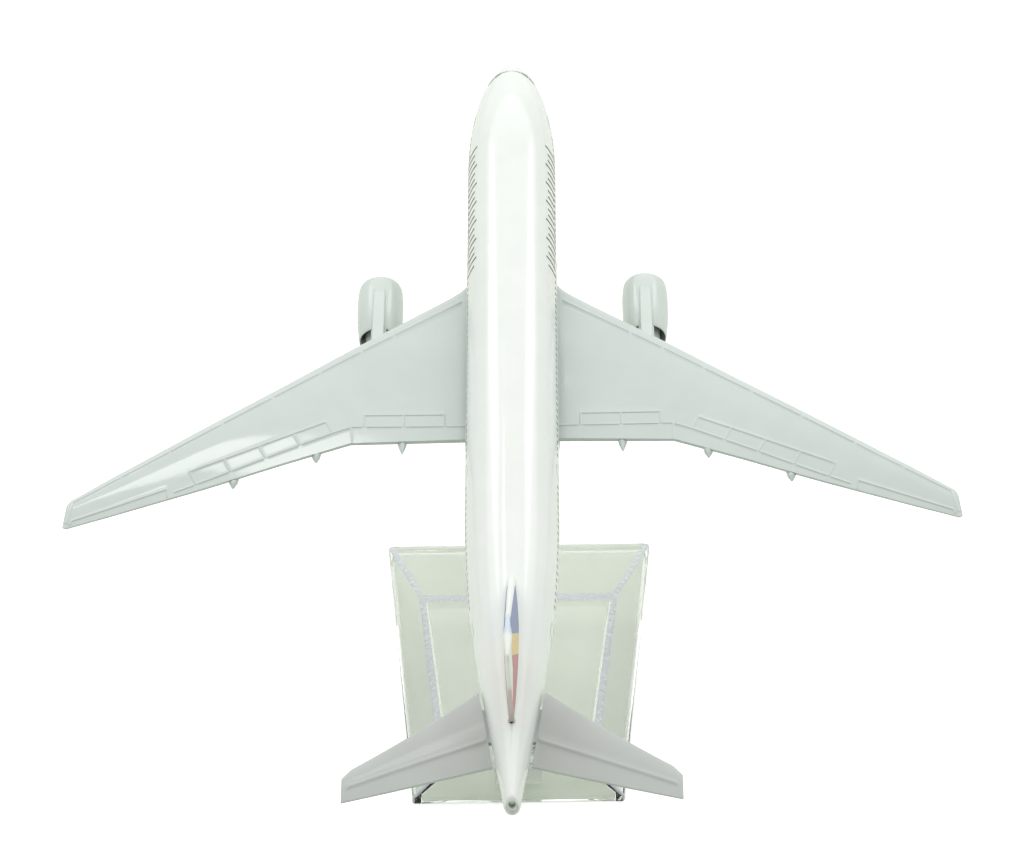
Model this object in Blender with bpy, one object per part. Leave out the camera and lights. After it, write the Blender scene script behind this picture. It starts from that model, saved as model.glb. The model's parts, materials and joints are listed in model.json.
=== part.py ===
"""Desktop airliner model on a clear plastic stand.

A die-cast wide-body twin-jet, 160 mm long, made as the real toy is made: a white
fuselage casting with the fin on it, one grey casting that holds both wings and the
belly fairing, two plugged-in tailplanes, two engines of four pieces each, two belly
screws, and a two-piece clear stand with a pin that the aircraft lifts off and
swivels on.

Metres, +Z up, +X to the aircraft's right, nose towards +Y. The aircraft pieces are
modelled in the aircraft's own frame (an empty on the pin's axis, pitched nose up):
there Y is PIN_S - s, with s the distance behind the nose tip, and Z is the height
above the fuselage axis.
"""

import math

import bmesh
import bpy
from mathutils import Matrix, Vector

MM = 0.001

# ---------------------------------------------------------------- dimensions, mm
LENGTH = 160.0            # nose tip to tail end
BODY_R = 7.3              # fuselage radius
PITCH_DEG = 10.0          # nose-up attitude on the stand
AXIS_HEIGHT = 58.2        # fuselage axis above the table, over the pin
PIN_S = 76.0              # pin's distance behind the nose tip
STAND_Y = 5.53            # stand's centre, so that the origin is below the box's middle
CLEAR = 0.3               # gap between pieces that touch on the real object

NOSE_DROOP = -1.3         # height of the nose tip
NOSE_TOP_LEN = 27.0
NOSE_BOTTOM_LEN = 17.0
NOSE_SIDE_LEN = 28.4
TAIL_SIDE_START = 102.9
TAIL_SIDE_LINEAR = 137.7
TAIL_BOTTOM_START = 100.0
TAIL_BOTTOM_LINEAR = 136.0
TAIL_TOP_START = 118.0

SPLIT_H = -2.2            # top face of the belly casting
FAIRING_S = (44.0, 92.4)  # belly fairing's ends
FAIRING_SWELL = 0.10

WING_ROOT_X, WING_KINK_X, WING_TIP_X = 6.9, 25.3, 67.8
WING_ROOT_LE, WING_ROOT_TE = 50.0, 83.0
WING_KINK_TE = 85.6
WING_TIP_LE, WING_TIP_TE = 100.5, 105.9
WING_H = ((0.0, -3.7), (6.9, -3.7), (25.3, -1.2), (70.0, 3.4))
WING_T = ((0.0, 2.8), (6.9, 2.8), (25.3, 2.0), (70.0, 1.0))

TAIL_X = (5.05, 24.6)     # tailplane root (at its leading edge) and tip
TAIL_ROOT_S = (137.6, 151.4)
TAIL_TIP_S = (153.9, 158.9)
TAIL_H = (1.6, 3.6)

FIN_PROFILE = (           # (s, h) round the fin, from the front of the dorsal fillet
    (117.5, 6.2), (117.5, 7.05), (121.5, 7.75), (125.0, 10.2), (149.3, 33.6),
    (150.6, 34.6), (156.0, 35.0), (157.3, 34.3), (157.4, 33.2), (146.2, 5.9), (145.5, 4.6),
)
FIN_T = 2.3

ENGINE_X, ENGINE_H = 21.6, -7.0
ENGINE_LIP_S = 46.6
NACELLE_R = 3.75
COWL_LEN = 11.6

TRACK_X = (17.3, 30.6, 43.2)   # flap-track fairings
SCREW_S = (57.0, 84.0)
CORE_R = 4.6              # the fuselage casting is cored out from its belly opening
CORE_RUNS = ((30.0, 53.2), (60.8, 80.2), (87.8, 110.0))
PIN_R, PIN_BORE_R = 1.5, 1.6
SCREW_R, SCREW_HOLE_R = 1.0, 1.3

BASE_H = 6.0
BASE_SKIRT = 1.2
BASE_FRONT_HALF, BASE_REAR_HALF = 22.5, 17.0
BASE_FRONT_Y, BASE_REAR_Y = 31.1, -32.4
TOP_FRONT_HALF, TOP_REAR_HALF = 16.3, 12.1
TOP_FRONT_Y, TOP_REAR_Y = 11.2, -30.7
BASE_WALL = 1.4

ARM_FOOT_Y = -26.6
ARM_W = (8.5, 7.0)        # width at the foot and at the top
ARM_T = (4.6, 5.4)        # thickness at the foot and at the top
TENON_W, TENON_T = 7.9, 3.6


# ------------------------------------------------------------------ scene set-up
for old in list(bpy.data.objects):
    bpy.data.objects.remove(old, do_unlink=True)

SCENE = bpy.context.scene.collection


def material(name, colour, roughness, metallic=0.0, transmission=0.0, coat=0.0):
    mat = bpy.data.materials.new(name)
    mat.use_nodes = True
    shader = mat.node_tree.nodes["Principled BSDF"]
    shader.inputs["Base Color"].default_value = (*colour, 1.0)
    shader.inputs["Roughness"].default_value = roughness
    shader.inputs["Metallic"].default_value = metallic
    shader.inputs["Transmission Weight"].default_value = transmission
    shader.inputs["Coat Weight"].default_value = coat
    mat.diffuse_color = (*colour, 1.0)
    return mat


WHITE = material("white_paint", (0.86, 0.87, 0.86), 0.22, coat=0.5)
GREY = material("grey_paint", (0.60, 0.63, 0.63), 0.35, coat=0.2)
DARK = material("dark_plastic", (0.05, 0.05, 0.055), 0.45)
SILVER = material("silver_paint", (0.50, 0.50, 0.50), 0.35, 0.8)
STEEL = material("steel", (0.55, 0.55, 0.56), 0.3, 1.0)
CLEAR_PLASTIC = material("clear_plastic", (0.93, 0.96, 0.92), 0.04, transmission=1.0)

aircraft = bpy.data.objects.new("aircraft_frame", None)
SCENE.objects.link(aircraft)
aircraft.location = (0, STAND_Y * MM, AXIS_HEIGHT * MM)
aircraft.rotation_euler = (math.radians(PITCH_DEG), 0, 0)

stand = bpy.data.objects.new("stand_frame", None)
SCENE.objects.link(stand)
stand.location = (0, STAND_Y * MM, 0)


# --------------------------------------------------------------- mesh functions
def at(s, x, h):
    """A point of the aircraft: s behind the nose, x to the right, h above the axis."""
    return Vector((x, PIN_S - s, h)) * MM


def mm(x, y, z):
    return Vector((x, y, z)) * MM


def blend_table(table, x):
    for (x0, y0), (x1, y1) in zip(table, table[1:]):
        if x <= x1:
            return y0 + (y1 - y0) * (x - x0) / (x1 - x0)
    return table[-1][1]


def smooth(t):
    t = min(max(t, 0.0), 1.0)
    return t * t * (3 - 2 * t)


def loft(rings, wrap=False):
    """A closed body through rings of equally many points, capped at both ends unless it wraps round."""
    bm = bmesh.new()
    rows = [[bm.verts.new(p) for p in ring] for ring in rings]
    pairs = list(zip(rows, rows[1:])) + ([(rows[-1], rows[0])] if wrap else [])
    for a, b in pairs:
        for i in range(len(a)):
            j = (i + 1) % len(a)
            bm.faces.new((a[i], a[j], b[j], b[i]))
    if not wrap:
        bm.faces.new(rows[0][::-1])
        bm.faces.new(rows[-1])
    bmesh.ops.recalc_face_normals(bm, faces=bm.faces)
    return bm


def prism(outline, low, high, place):
    """The outline's (a, b) points taken from low to high by place(a, b, c)."""
    return loft([[place(a, b, c) for a, b in outline] for c in (low, high)])


def box(x0, x1, s0, s1, h0, h1):
    return prism(((s0, h0), (s1, h0), (s1, h1), (s0, h1)), x0, x1, lambda s, h, x: at(s, x, h))


def plain_box(x0, x1, y0, y1, z0, z1):
    return prism(((x0, y0), (x1, y0), (x1, y1), (x0, y1)), z0, z1, mm)


def turned(profile, segments, place):
    """A solid turned from (along, radius) points, both ends on the axis or closed by flat caps."""
    rings = [
        [place(a, r * math.cos(t), r * math.sin(t)) for t in (2 * math.pi * i / segments for i in range(segments))]
        for a, r in profile
    ]
    return loft(rings)


def turned_ring(profile, segments, place):
    """A hollow turned body from a closed (along, radius) profile that stays off the axis."""
    rings = []
    for i in range(segments):
        t = 2 * math.pi * i / segments
        rings.append([place(a, r * math.cos(t), r * math.sin(t)) for a, r in profile])
    return loft(rings, wrap=True)


def add(name, bm, mat, parent, smooth_angle=32):
    mesh = bpy.data.meshes.new(name)
    bm.to_mesh(mesh)
    bm.free()
    mesh.materials.append(mat)
    mesh.shade_smooth()
    mesh.set_sharp_from_angle(angle=math.radians(smooth_angle))
    obj = bpy.data.objects.new(name, mesh)
    SCENE.objects.link(obj)
    obj.parent = parent
    return obj


def helper(name, bm, parent):
    """A cutter or a shape to be joined on: never a piece of its own."""
    obj = add(name, bm, WHITE, parent)
    obj.hide_render = True
    obj.display_type = "WIRE"
    return obj


def boolean(target, other, operation):
    modifier = target.modifiers.new(other.name, "BOOLEAN")
    modifier.operation = operation
    modifier.solver = "EXACT"
    modifier.object = other


def joined(bms):
    whole = bmesh.new()
    for bm in bms:
        piece = bpy.data.meshes.new("piece")
        bm.to_mesh(piece)
        bm.free()
        whole.from_mesh(piece)
        bpy.data.meshes.remove(piece)
    return whole


# ---------------------------------------------------------------------- fuselage
def half_width(s):
    if s < NOSE_SIDE_LEN:
        return BODY_R * (1 - (1 - s / NOSE_SIDE_LEN) ** 2.16) ** 0.59
    if s <= TAIL_SIDE_START:
        return BODY_R
    k = 0.00223
    if s <= TAIL_SIDE_LINEAR:
        return BODY_R - k * (s - TAIL_SIDE_START) ** 2
    run = TAIL_SIDE_LINEAR - TAIL_SIDE_START
    return BODY_R - k * run**2 - 2 * k * run * (s - TAIL_SIDE_LINEAR)


def crown(s):
    if s < NOSE_TOP_LEN:
        t = 1 - s / NOSE_TOP_LEN
        return NOSE_DROOP + (BODY_R - NOSE_DROOP) * (1 - t**2.1) ** 0.62
    if s <= TAIL_TOP_START:
        return BODY_R
    return BODY_R - 0.0011 * (s - TAIL_TOP_START) ** 2


def keel(s):
    if s < NOSE_BOTTOM_LEN:
        t = 1 - s / NOSE_BOTTOM_LEN
        return NOSE_DROOP - (BODY_R + NOSE_DROOP) * (1 - t**2) ** 0.55
    if s <= TAIL_BOTTOM_START:
        return -BODY_R
    k = 0.00278
    if s <= TAIL_BOTTOM_LINEAR:
        return -BODY_R + k * (s - TAIL_BOTTOM_START) ** 2
    run = TAIL_BOTTOM_LINEAR - TAIL_BOTTOM_START
    return -BODY_R + k * run**2 + 2 * k * run * (s - TAIL_BOTTOM_LINEAR)


def body_ring(s, points=32):
    """One section of the fuselage: two half ellipses that meet at the widest line."""
    wide, top, bottom = half_width(s), crown(s), keel(s)
    middle = (top + bottom) / 2
    ring = []
    for i in range(points):
        t = 2 * math.pi * i / points
        reach = (top - middle) if math.sin(t) >= 0 else (middle - bottom)
        ring.append(at(s, wide * math.cos(t), middle + reach * math.sin(t)))
    return ring


nose_stations = [NOSE_SIDE_LEN * (1 - math.cos(math.pi / 2 * i / 13)) for i in range(14)]
nose_stations[0] = 0.06
tail_stations = [100 + (LENGTH - 0.9 - 100) * i / 13 for i in range(14)]
stations = nose_stations + [64.0] + tail_stations
rings = [body_ring(s) for s in stations]
end = body_ring(LENGTH - 0.9)
centre = sum(end, Vector()) / len(end)
rings.append([centre + (p - centre) * 0.62 - Vector((0, 0.9 * MM, 0)) for p in end])
fuselage = add("fuselage", loft(rings), WHITE, aircraft)


def fin_half(s, h):
    """Half thickness of the fin: thickest a third of the way back, thinner to the tip."""
    taper = 1 - 0.45 * min(max((h - 6.0) / 29.0, 0.0), 1.0)
    front = 121.5 + (149.3 - 121.5) * (h - 7.6) / 26.0
    back = 146.2 + (157.4 - 146.2) * (h - 5.9) / 27.3
    u = min(max((s - front) / max(back - front, 1.0), 0.0), 1.0)
    shape = math.sqrt(max(1 - (1 - min(u / 0.34, 1)) ** 2, 0.0)) if u < 0.34 else 1 - 0.62 * ((u - 0.34) / 0.66) ** 1.5
    return max(FIN_T / 2 * taper * shape, 0.16)


def fin_body():
    """The fin as a loft of sections from below the crown to the rounded tip."""
    levels = [4.6, 7.6, 12.0, 18.0, 24.0, 30.0, 33.2, 34.4, 34.9]
    sections = []
    for h in levels:
        front = 121.2 + (149.0 - 121.2) * (h - 7.6) / 26.0
        back = 146.2 + (157.4 - 146.2) * (h - 5.9) / 27.3
        if h > 33.0:
            front += (h - 33.0) ** 2 * 0.75
            back -= (h - 33.0) ** 2 * 0.25
        ring = []
        steps = 9
        for side in (1, -1):
            for i in range(steps):
                u = i / (steps - 1) if side > 0 else 1 - i / (steps - 1)
                u = (1 - math.cos(math.pi * u * 0.92)) / (1 - math.cos(math.pi * 0.92))
                s = front + (back - front) * u
                ring.append(at(s, side * fin_half(s, min(h, 33.5)) * (1 if h < 34.5 else 0.55), h))
        sections.append(ring)
    return loft(sections)


def dorsal_fillet():
    """The low fairing that runs the fin's leading edge into the crown."""
    outline = ((114.0, 6.0), (114.0, 7.1), (119.0, 7.75), (124.0, 10.8), (129.0, 13.6), (129.0, 6.0))
    sections = []
    for share in (-1, -0.5, 0.5, 1):
        inset = 0.0 if abs(share) < 1 else 0.22
        sections.append([at(s, 0.62 * share, h - inset * (h > 6.5)) for s, h in outline])
    return loft(sections)


boolean(fuselage, helper("fin_shape", fin_body(), aircraft), "UNION")
boolean(fuselage, helper("dorsal_shape", dorsal_fillet(), aircraft), "UNION")

notch = box(-12, 12, FAIRING_S[0] - CLEAR, FAIRING_S[1] + CLEAR, -14, SPLIT_H + CLEAR)
boolean(fuselage, helper("belly_notch", notch, aircraft), "DIFFERENCE")


def along_pin(radius, low, high, s, segments=24):
    """An upright round bar or hole of the aircraft, from height low to high at station s."""
    return turned([(low, radius), (high, radius)], segments, lambda a, u, v: at(s, 0, 0) + mm(u, v, a))


fuselage_holes = [along_pin(SCREW_HOLE_R, -3.0, 1.6, s) for s in SCREW_S]
for first, last in CORE_RUNS:
    steps = ((0.0, 0.55), (0.06, 0.85), (0.16, 1.0), (0.84, 1.0), (0.94, 0.85), (1.0, 0.55))
    core = [(first + (last - first) * u, CORE_R * share) for u, share in steps]
    fuselage_holes.append(turned(core, 16, lambda a, u, v: at(a, u, v)))
boolean(fuselage, helper("fuselage_holes", joined(fuselage_holes), aircraft), "DIFFERENCE")


# ------------------------------------------------------------------ wing casting
def wing_le(x):
    if x <= WING_ROOT_X:
        return WING_ROOT_LE
    return WING_ROOT_LE + (WING_TIP_LE - WING_ROOT_LE) * (x - WING_ROOT_X) / (WING_TIP_X - WING_ROOT_X)


def wing_te(x):
    if x <= WING_ROOT_X:
        return WING_ROOT_TE
    if x <= WING_KINK_X:
        return WING_ROOT_TE + (WING_KINK_TE - WING_ROOT_TE) * (x - WING_ROOT_X) / (WING_KINK_X - WING_ROOT_X)
    return WING_KINK_TE + (WING_TIP_TE - WING_KINK_TE) * (x - WING_KINK_X) / (WING_TIP_X - WING_KINK_X)


def foil(u, tail=0.28):
    """Share of the thickness at u along the chord: round in front, thin but blunt behind."""
    if u < 0.35:
        return math.sqrt(max(1 - (1 - u / 0.35) ** 2, 0.0))
    return 1 - (1 - tail) * ((u - 0.35) / 0.65) ** 1.4


CHORD_STEPS = [0.0, 0.012, 0.05, 0.12, 0.22, 0.35, 0.52, 0.70, 0.86, 1.0]


def wing_ring(x):
    side = abs(x)
    le, te = wing_le(side), wing_te(side)
    h, t = blend_table(WING_H, side), blend_table(WING_T, side)
    if side > WING_TIP_X:
        le += (side - WING_TIP_X) * 1.6
        te -= (side - WING_TIP_X) * 0.5
        t *= 0.55
    upper = [at(le + (te - le) * u, x, h + 0.55 * t * foil(u)) for u in CHORD_STEPS]
    lower = [at(le + (te - le) * u, x, h - 0.45 * t * foil(u)) for u in CHORD_STEPS[1:]]
    return upper + lower[::-1]


def lower_surface(s, x):
    le, te = wing_le(x), wing_te(x)
    return blend_table(WING_H, x) - 0.45 * blend_table(WING_T, x) * foil(min(max((s - le) / (te - le), 0), 1))


half = [3.0, WING_ROOT_X, 16.0, WING_KINK_X, 40.0, 55.0, WING_TIP_X, 68.6]
wing_body = loft([wing_ring(x) for x in [-x for x in half[::-1]] + half])


def fairing_ring(s, points=19):
    """The belly fairing's section: the fuselage's own lower arc, swollen between its ends."""
    grow = smooth((s - FAIRING_S[0]) / 11) * smooth((FAIRING_S[1] - s) / 11)
    radius = BODY_R * (1 + FAIRING_SWELL * grow)
    first = -math.asin(-SPLIT_H / radius)
    ring = []
    for i in range(points):
        t = first + (-math.pi - 2 * first) * i / (points - 1)
        ring.append(at(s, radius * math.cos(t), radius * math.sin(t)))
    return ring


fairing_s = [FAIRING_S[0] + (FAIRING_S[1] - FAIRING_S[0]) * i / 18 for i in range(19)]
wing_casting = add("wing_casting", loft([fairing_ring(s) for s in fairing_s]), GREY, aircraft)
boolean(wing_casting, helper("wing_shape", wing_body, aircraft), "UNION")


def track_fairing(x):
    """A slim pod under the trailing edge, its tip standing out behind."""
    side = abs(x)
    te = wing_te(side)
    behind = 2.1 if side < 20 else 1.5
    rows = ((-9.0, 0.10), (-7.4, 0.55), (-5.0, 0.86), (-2.4, 0.92), (0.0, 0.70), (behind * 0.65, 0.36), (behind, 0.10))
    sections = []
    for ds, r in rows:
        drop = 0.35 if ds < 0 else 0.35 - 0.12 * ds
        middle = lower_surface(min(te + ds, te), side) - drop + 0.12
        sections.append(
            [
                at(te + ds, x + r * math.cos(t), middle + r * 1.05 * math.sin(t))
                for t in (2 * math.pi * i / 10 for i in range(10))
            ]
        )
    return loft(sections)


tracks = joined([track_fairing(side * x) for x in TRACK_X for side in (1, -1)])
boolean(wing_casting, helper("track_shapes", tracks, aircraft), "UNION")

TAB_S = (64.6, 68.6)
wing_holes = [along_pin(SCREW_HOLE_R, -6.5, 0.0, s) for s in SCREW_S]
wing_holes += [along_pin(2.3, -12.0, -5.6, s) for s in SCREW_S]
wing_holes.append(along_pin(PIN_BORE_R, -12.0, 0.0, PIN_S))
boolean(wing_casting, helper("wing_holes", joined([wing_holes[0], wing_holes[1], wing_holes[4]]), aircraft), "DIFFERENCE")
boolean(wing_casting, helper("screw_recesses", joined(wing_holes[2:4]), aircraft), "DIFFERENCE")
slots = [box(side * ENGINE_X - 0.9, side * ENGINE_X + 0.9, TAB_S[0] - CLEAR, TAB_S[1] + CLEAR, -6, -1.65) for side in (1, -1)]
boolean(wing_casting, helper("pylon_slots", joined(slots), aircraft), "DIFFERENCE")


# -------------------------------------------------------------------- tailplanes
def tail_ring(share, side):
    """A section of the tailplane; share runs from the root, 0, to the tip, 1."""
    root = at(TAIL_ROOT_S[0], 0, 0), at(TAIL_ROOT_S[1], 0, 0)
    ring = []
    t = 1.7 + (0.9 - 1.7) * share
    h = TAIL_H[0] + (TAIL_H[1] - TAIL_H[0]) * share
    s0 = TAIL_ROOT_S[0] + (TAIL_TIP_S[0] - TAIL_ROOT_S[0]) * share
    s1 = TAIL_ROOT_S[1] + (TAIL_TIP_S[1] - TAIL_ROOT_S[1]) * share
    for face in (0.5, -0.5):
        order = CHORD_STEPS if face > 0 else CHORD_STEPS[:0:-1]
        for u in order:
            s = s0 + (s1 - s0) * u
            # the root follows the tapering side of the fuselage; the tip is parallel to the axis
            root_x = half_width(s) + 0.42
            x = root_x + (TAIL_X[1] - root_x) * share
            ring.append(at(s, side * x, h + face * t * foil(u, 0.35)))
    return ring


tail_cut = []
for side, word in ((-1, "left"), (1, "right")):
    plane = add("tailplane_" + word, loft([tail_ring(share, side) for share in (0, 0.33, 0.66, 0.97, 1.0)]), GREY, aircraft)
    x_in, x_out = 2.0, 7.0
    low, high = (side * x_in, side * x_out) if side > 0 else (side * x_out, side * x_in)
    tab = box(low, high, 141.2, 147.2, TAIL_H[0] - 0.25, TAIL_H[0] + 0.55)
    boolean(plane, helper("tail_tab_" + word, tab, aircraft), "UNION")
    tail_cut.append(box(side * (x_in - CLEAR) if side > 0 else -12, 12 if side > 0 else side * (x_in - CLEAR), 141.2 - CLEAR, 147.2 + CLEAR, TAIL_H[0] - 0.55, TAIL_H[0] + 0.85))
boolean(fuselage, helper("tail_slots", joined(tail_cut), aircraft), "DIFFERENCE")


# ----------------------------------------------------------------------- engines
LIP = ENGINE_LIP_S
COWL = (  # closed (s, radius) section of the cowl, with the wall that carries fan and core
    (LIP + 0.25, 3.12), (LIP, 3.30), (LIP + 0.25, 3.48), (LIP + 1.2, 3.66), (LIP + 3.4, NACELLE_R),
    (LIP + 6.2, NACELLE_R), (LIP + 8.8, 3.62), (LIP + COWL_LEN, 3.30), (LIP + COWL_LEN, 3.08),
    (LIP + 7.2, 3.18), (LIP + 7.0, 0.9), (LIP + 5.4, 0.9), (LIP + 5.3, 3.0), (LIP + 2.0, 2.98),
)
PYLON = (
    (49.2, -3.6), (50.4, -2.95), (54.0, -2.35), (58.0, -1.8), (60.6, -1.5), (61.05, -1.9),
    (61.1, -2.45), (62.8, -2.75), (65.0, -3.05), (68.0, -3.25), (71.0, -3.3), (71.0, -3.5),
    (66.0, -4.2), (60.0, -4.4), (56.5, -4.4), (54.4, -3.65),
)
FAN = ((LIP + 6.0, 0.6), (LIP + 4.95, 0.6), (LIP + 4.95, 2.75), (LIP + 4.3, 2.75), (LIP + 4.2, 0.95), (LIP + 3.4, 0.62), (LIP + 2.6, 0.12))
CORE = (
    (LIP + 6.35, 0.6), (LIP + 7.35, 0.6), (LIP + 7.35, 2.1), (LIP + 10.0, 2.3), (LIP + 13.2, 2.12), (LIP + 16.6, 1.75),
    (LIP + 16.6, 1.46), (LIP + 15.9, 1.42), (LIP + 15.9, 1.05), (LIP + 18.2, 0.75), (LIP + 20.0, 0.15),
)
for side, word in ((-1, "left"), (1, "right")):
    def engine(a, u, v, x=side * ENGINE_X):
        return at(a, x + u, ENGINE_H + v)

    nacelle = add("nacelle_" + word, turned_ring(COWL, 32, engine), GREY, aircraft)
    strut = prism(PYLON, side * ENGINE_X - 0.95, side * ENGINE_X + 0.95, lambda s, h, x: at(s, x, h))
    boolean(nacelle, helper("pylon_" + word, strut, aircraft), "UNION")
    tab = box(side * ENGINE_X - 0.6, side * ENGINE_X + 0.6, TAB_S[0], TAB_S[1], -3.9, -2.0)
    boolean(nacelle, helper("pylon_tab_" + word, tab, aircraft), "UNION")
    add("fan_" + word, turned(FAN, 24, engine), DARK, aircraft)
    add("engine_core_" + word, turned(CORE, 24, engine), SILVER, aircraft)


# ------------------------------------------------------------------ belly screws
for s, word in zip(SCREW_S, ("front", "rear")):
    profile = ((-7.0, 0.9), (-6.9, 1.5), (-6.5, 1.85), (-5.9, 1.9), (-5.9, SCREW_R), (0.8, SCREW_R), (1.3, 0.4))
    screw = add("belly_screw_" + word, turned(profile, 20, lambda a, u, v, s=s: at(s, 0, 0) + mm(u, v, a)), STEEL, aircraft)
    cross = helper("screw_cross_" + word, box(-0.22, 0.22, s - 1.05, s + 1.05, -8.0, -6.35), aircraft)
    bar = helper("screw_bar_" + word, box(-1.05, 1.05, s - 0.22, s + 0.22, -8.0, -6.4), aircraft)
    boolean(screw, cross, "DIFFERENCE")
    boolean(screw, bar, "DIFFERENCE")


# ------------------------------------------------------------------- support pin
ARM_TOP_H = -(BODY_R * (1 + FAIRING_SWELL)) - 0.35      # arm's top face, in the aircraft's frame
PIN_ENDS = (ARM_TOP_H - 4.7, SPLIT_H - 0.4)
pin_profile = (
    (PIN_ENDS[0], PIN_R - 0.3), (PIN_ENDS[0] + 0.3, PIN_R), (PIN_ENDS[1] - 0.5, PIN_R), (PIN_ENDS[1], PIN_R - 0.5),
)
add("support_pin", turned(pin_profile, 24, lambda a, u, v: mm(u, v, a)), STEEL, aircraft)


# ------------------------------------------------------------------------- stand
def base_ring(front_y, rear_y, front_half, rear_half, z, front_r=0.9, rear_r=0.35, steps=4):
    """A trapezium outline with rounded corners, wide end towards the nose."""
    corners = [
        (Vector((front_half, front_y)), front_r), (Vector((-front_half, front_y)), front_r),
        (Vector((-rear_half, rear_y)), rear_r), (Vector((rear_half, rear_y)), rear_r),
    ]
    ring = []
    for i, (corner, radius) in enumerate(corners):
        before = (corners[i - 1][0] - corner).normalized()
        after = (corners[(i + 1) % 4][0] - corner).normalized()
        start, stop = corner + before * radius, corner + after * radius
        for k in range(steps + 1):
            t = k / steps
            point = start * (1 - t) ** 2 + corner * 2 * t * (1 - t) + stop * t * t
            ring.append(mm(point.x, point.y, z))
    return ring


outer = loft(
    [
        base_ring(BASE_FRONT_Y, BASE_REAR_Y, BASE_FRONT_HALF, BASE_REAR_HALF, 0.0),
        base_ring(BASE_FRONT_Y, BASE_REAR_Y, BASE_FRONT_HALF, BASE_REAR_HALF, BASE_SKIRT),
        base_ring(TOP_FRONT_Y, TOP_REAR_Y, TOP_FRONT_HALF, TOP_REAR_HALF, BASE_H, 0.5, 0.3),
    ]
)
W = BASE_WALL
inner = loft(
    [
        base_ring(BASE_FRONT_Y - W, BASE_REAR_Y + W, BASE_FRONT_HALF - W, BASE_REAR_HALF - W, -1.0, 0.5, 0.3),
        base_ring(BASE_FRONT_Y - 2.6, BASE_REAR_Y + W, BASE_FRONT_HALF - W - 0.1, BASE_REAR_HALF - W, 0.8, 0.5, 0.3),
        base_ring(TOP_FRONT_Y - 0.4, TOP_REAR_Y + W, TOP_FRONT_HALF - 1.2, TOP_REAR_HALF - 1.2, BASE_H - W, 0.4, 0.3),
    ]
)
stand_base = add("stand_base", outer, CLEAR_PLASTIC, stand, 20)
boolean(stand_base, helper("base_hollow", inner, stand), "DIFFERENCE")
socket_out = plain_box(
    -TENON_W / 2 - CLEAR - 1.2, TENON_W / 2 + CLEAR + 1.2,
    ARM_FOOT_Y - TENON_T / 2 - CLEAR - 1.1, ARM_FOOT_Y + TENON_T / 2 + CLEAR + 1.1, 0.6, BASE_H - 0.5,
)
socket_in = plain_box(
    -TENON_W / 2 - CLEAR, TENON_W / 2 + CLEAR, ARM_FOOT_Y - TENON_T / 2 - CLEAR, ARM_FOOT_Y + TENON_T / 2 + CLEAR, -1.0, 9.0
)
boolean(stand_base, helper("socket_wall", socket_out, stand), "UNION")
boolean(stand_base, helper("socket_hole", socket_in, stand), "DIFFERENCE")


def arm_section(centre, along, width, thick, rounding=0.9):
    """A rounded rectangle across the arm; along is the arm's direction in its side view."""
    across = Vector((0, along.z, -along.y))
    ring = []
    steps = 3
    for sx, sy in ((1, 1), (-1, 1), (-1, -1), (1, -1)):
        corner = Vector((sx * width / 2, sy * thick / 2))
        into_first = Vector((0, -sy)) if sx * sy > 0 else Vector((-sx, 0))
        into_last = Vector((-sx, 0)) if sx * sy > 0 else Vector((0, -sy))
        for k in range(steps + 1):
            t = k / steps
            p = (corner + into_first * rounding) * (1 - t) ** 2 + corner * 2 * t * (1 - t) + (corner + into_last * rounding) * t * t
            ring.append((centre + Vector((1, 0, 0)) * p.x + across * p.y) * MM)
    return ring


tilt = math.radians(PITCH_DEG)
arm_top = Vector((0, -ARM_TOP_H * math.sin(tilt), AXIS_HEIGHT + ARM_TOP_H * math.cos(tilt)))
top_dir = Vector((0, -math.sin(tilt), math.cos(tilt)))
arm_foot = Vector((0, ARM_FOOT_Y, BASE_H + CLEAR))
CONTROL = (arm_foot, arm_foot + Vector((0, 1.5, 14)), arm_top - top_dir * 22 + Vector((0, 1.0, 0)), arm_top)


def bezier(t):
    a, b, c, d = CONTROL
    u = 1 - t
    point = a * u**3 + b * 3 * u * u * t + c * 3 * u * t * t + d * t**3
    slope = (b - a) * u * u + (c - b) * 2 * u * t + (d - c) * t * t
    return point, slope.normalized()


sections = []
ARM_STEPS = 12
for i in range(ARM_STEPS + 1):
    t = i / ARM_STEPS
    point, along = bezier(t)
    if i == 0:
        along = Vector((0, 0, 1))
    if i == ARM_STEPS:
        along = top_dir
    waist = 1 - 0.12 * math.sin(math.pi * t)
    sections.append(
        arm_section(point, along, (ARM_W[0] + (ARM_W[1] - ARM_W[0]) * t), (ARM_T[0] + (ARM_T[1] - ARM_T[0]) * t) * waist)
    )
stand_arm = add("stand_arm", loft(sections), CLEAR_PLASTIC, stand, 25)
tenon = plain_box(-TENON_W / 2, TENON_W / 2, ARM_FOOT_Y - TENON_T / 2, ARM_FOOT_Y + TENON_T / 2, 0.9, BASE_H + 1.6)
boolean(stand_arm, helper("arm_tenon", tenon, stand), "UNION")


def bore(a, u, v):
    """A point round the pin's axis, a along it from the fuselage axis, in the stand's frame."""
    turn = Matrix.Rotation(tilt, 3, "X")
    return (Vector((0, 0, AXIS_HEIGHT)) + turn @ Vector((u, v, a))) * MM


boolean(stand_arm, helper("arm_bore", turned([(ARM_TOP_H - 5.0, PIN_BORE_R), (ARM_TOP_H + 3.0, PIN_BORE_R)], 24, bore), stand), "DIFFERENCE")
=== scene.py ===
"""The looks of the desktop airliner model: fine painted castings, printed trim, engines and a clear stand.

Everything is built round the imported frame. Aircraft pieces are made in the aircraft's own
coordinates, in millimetres: s is the distance behind the nose tip, x is to the right and
h is the height above the fuselage axis. The pin's axis gives their place in the frame.
"""

import json
import math

import bmesh
import bpy
import numpy as np
from mathutils import Matrix, Vector


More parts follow.
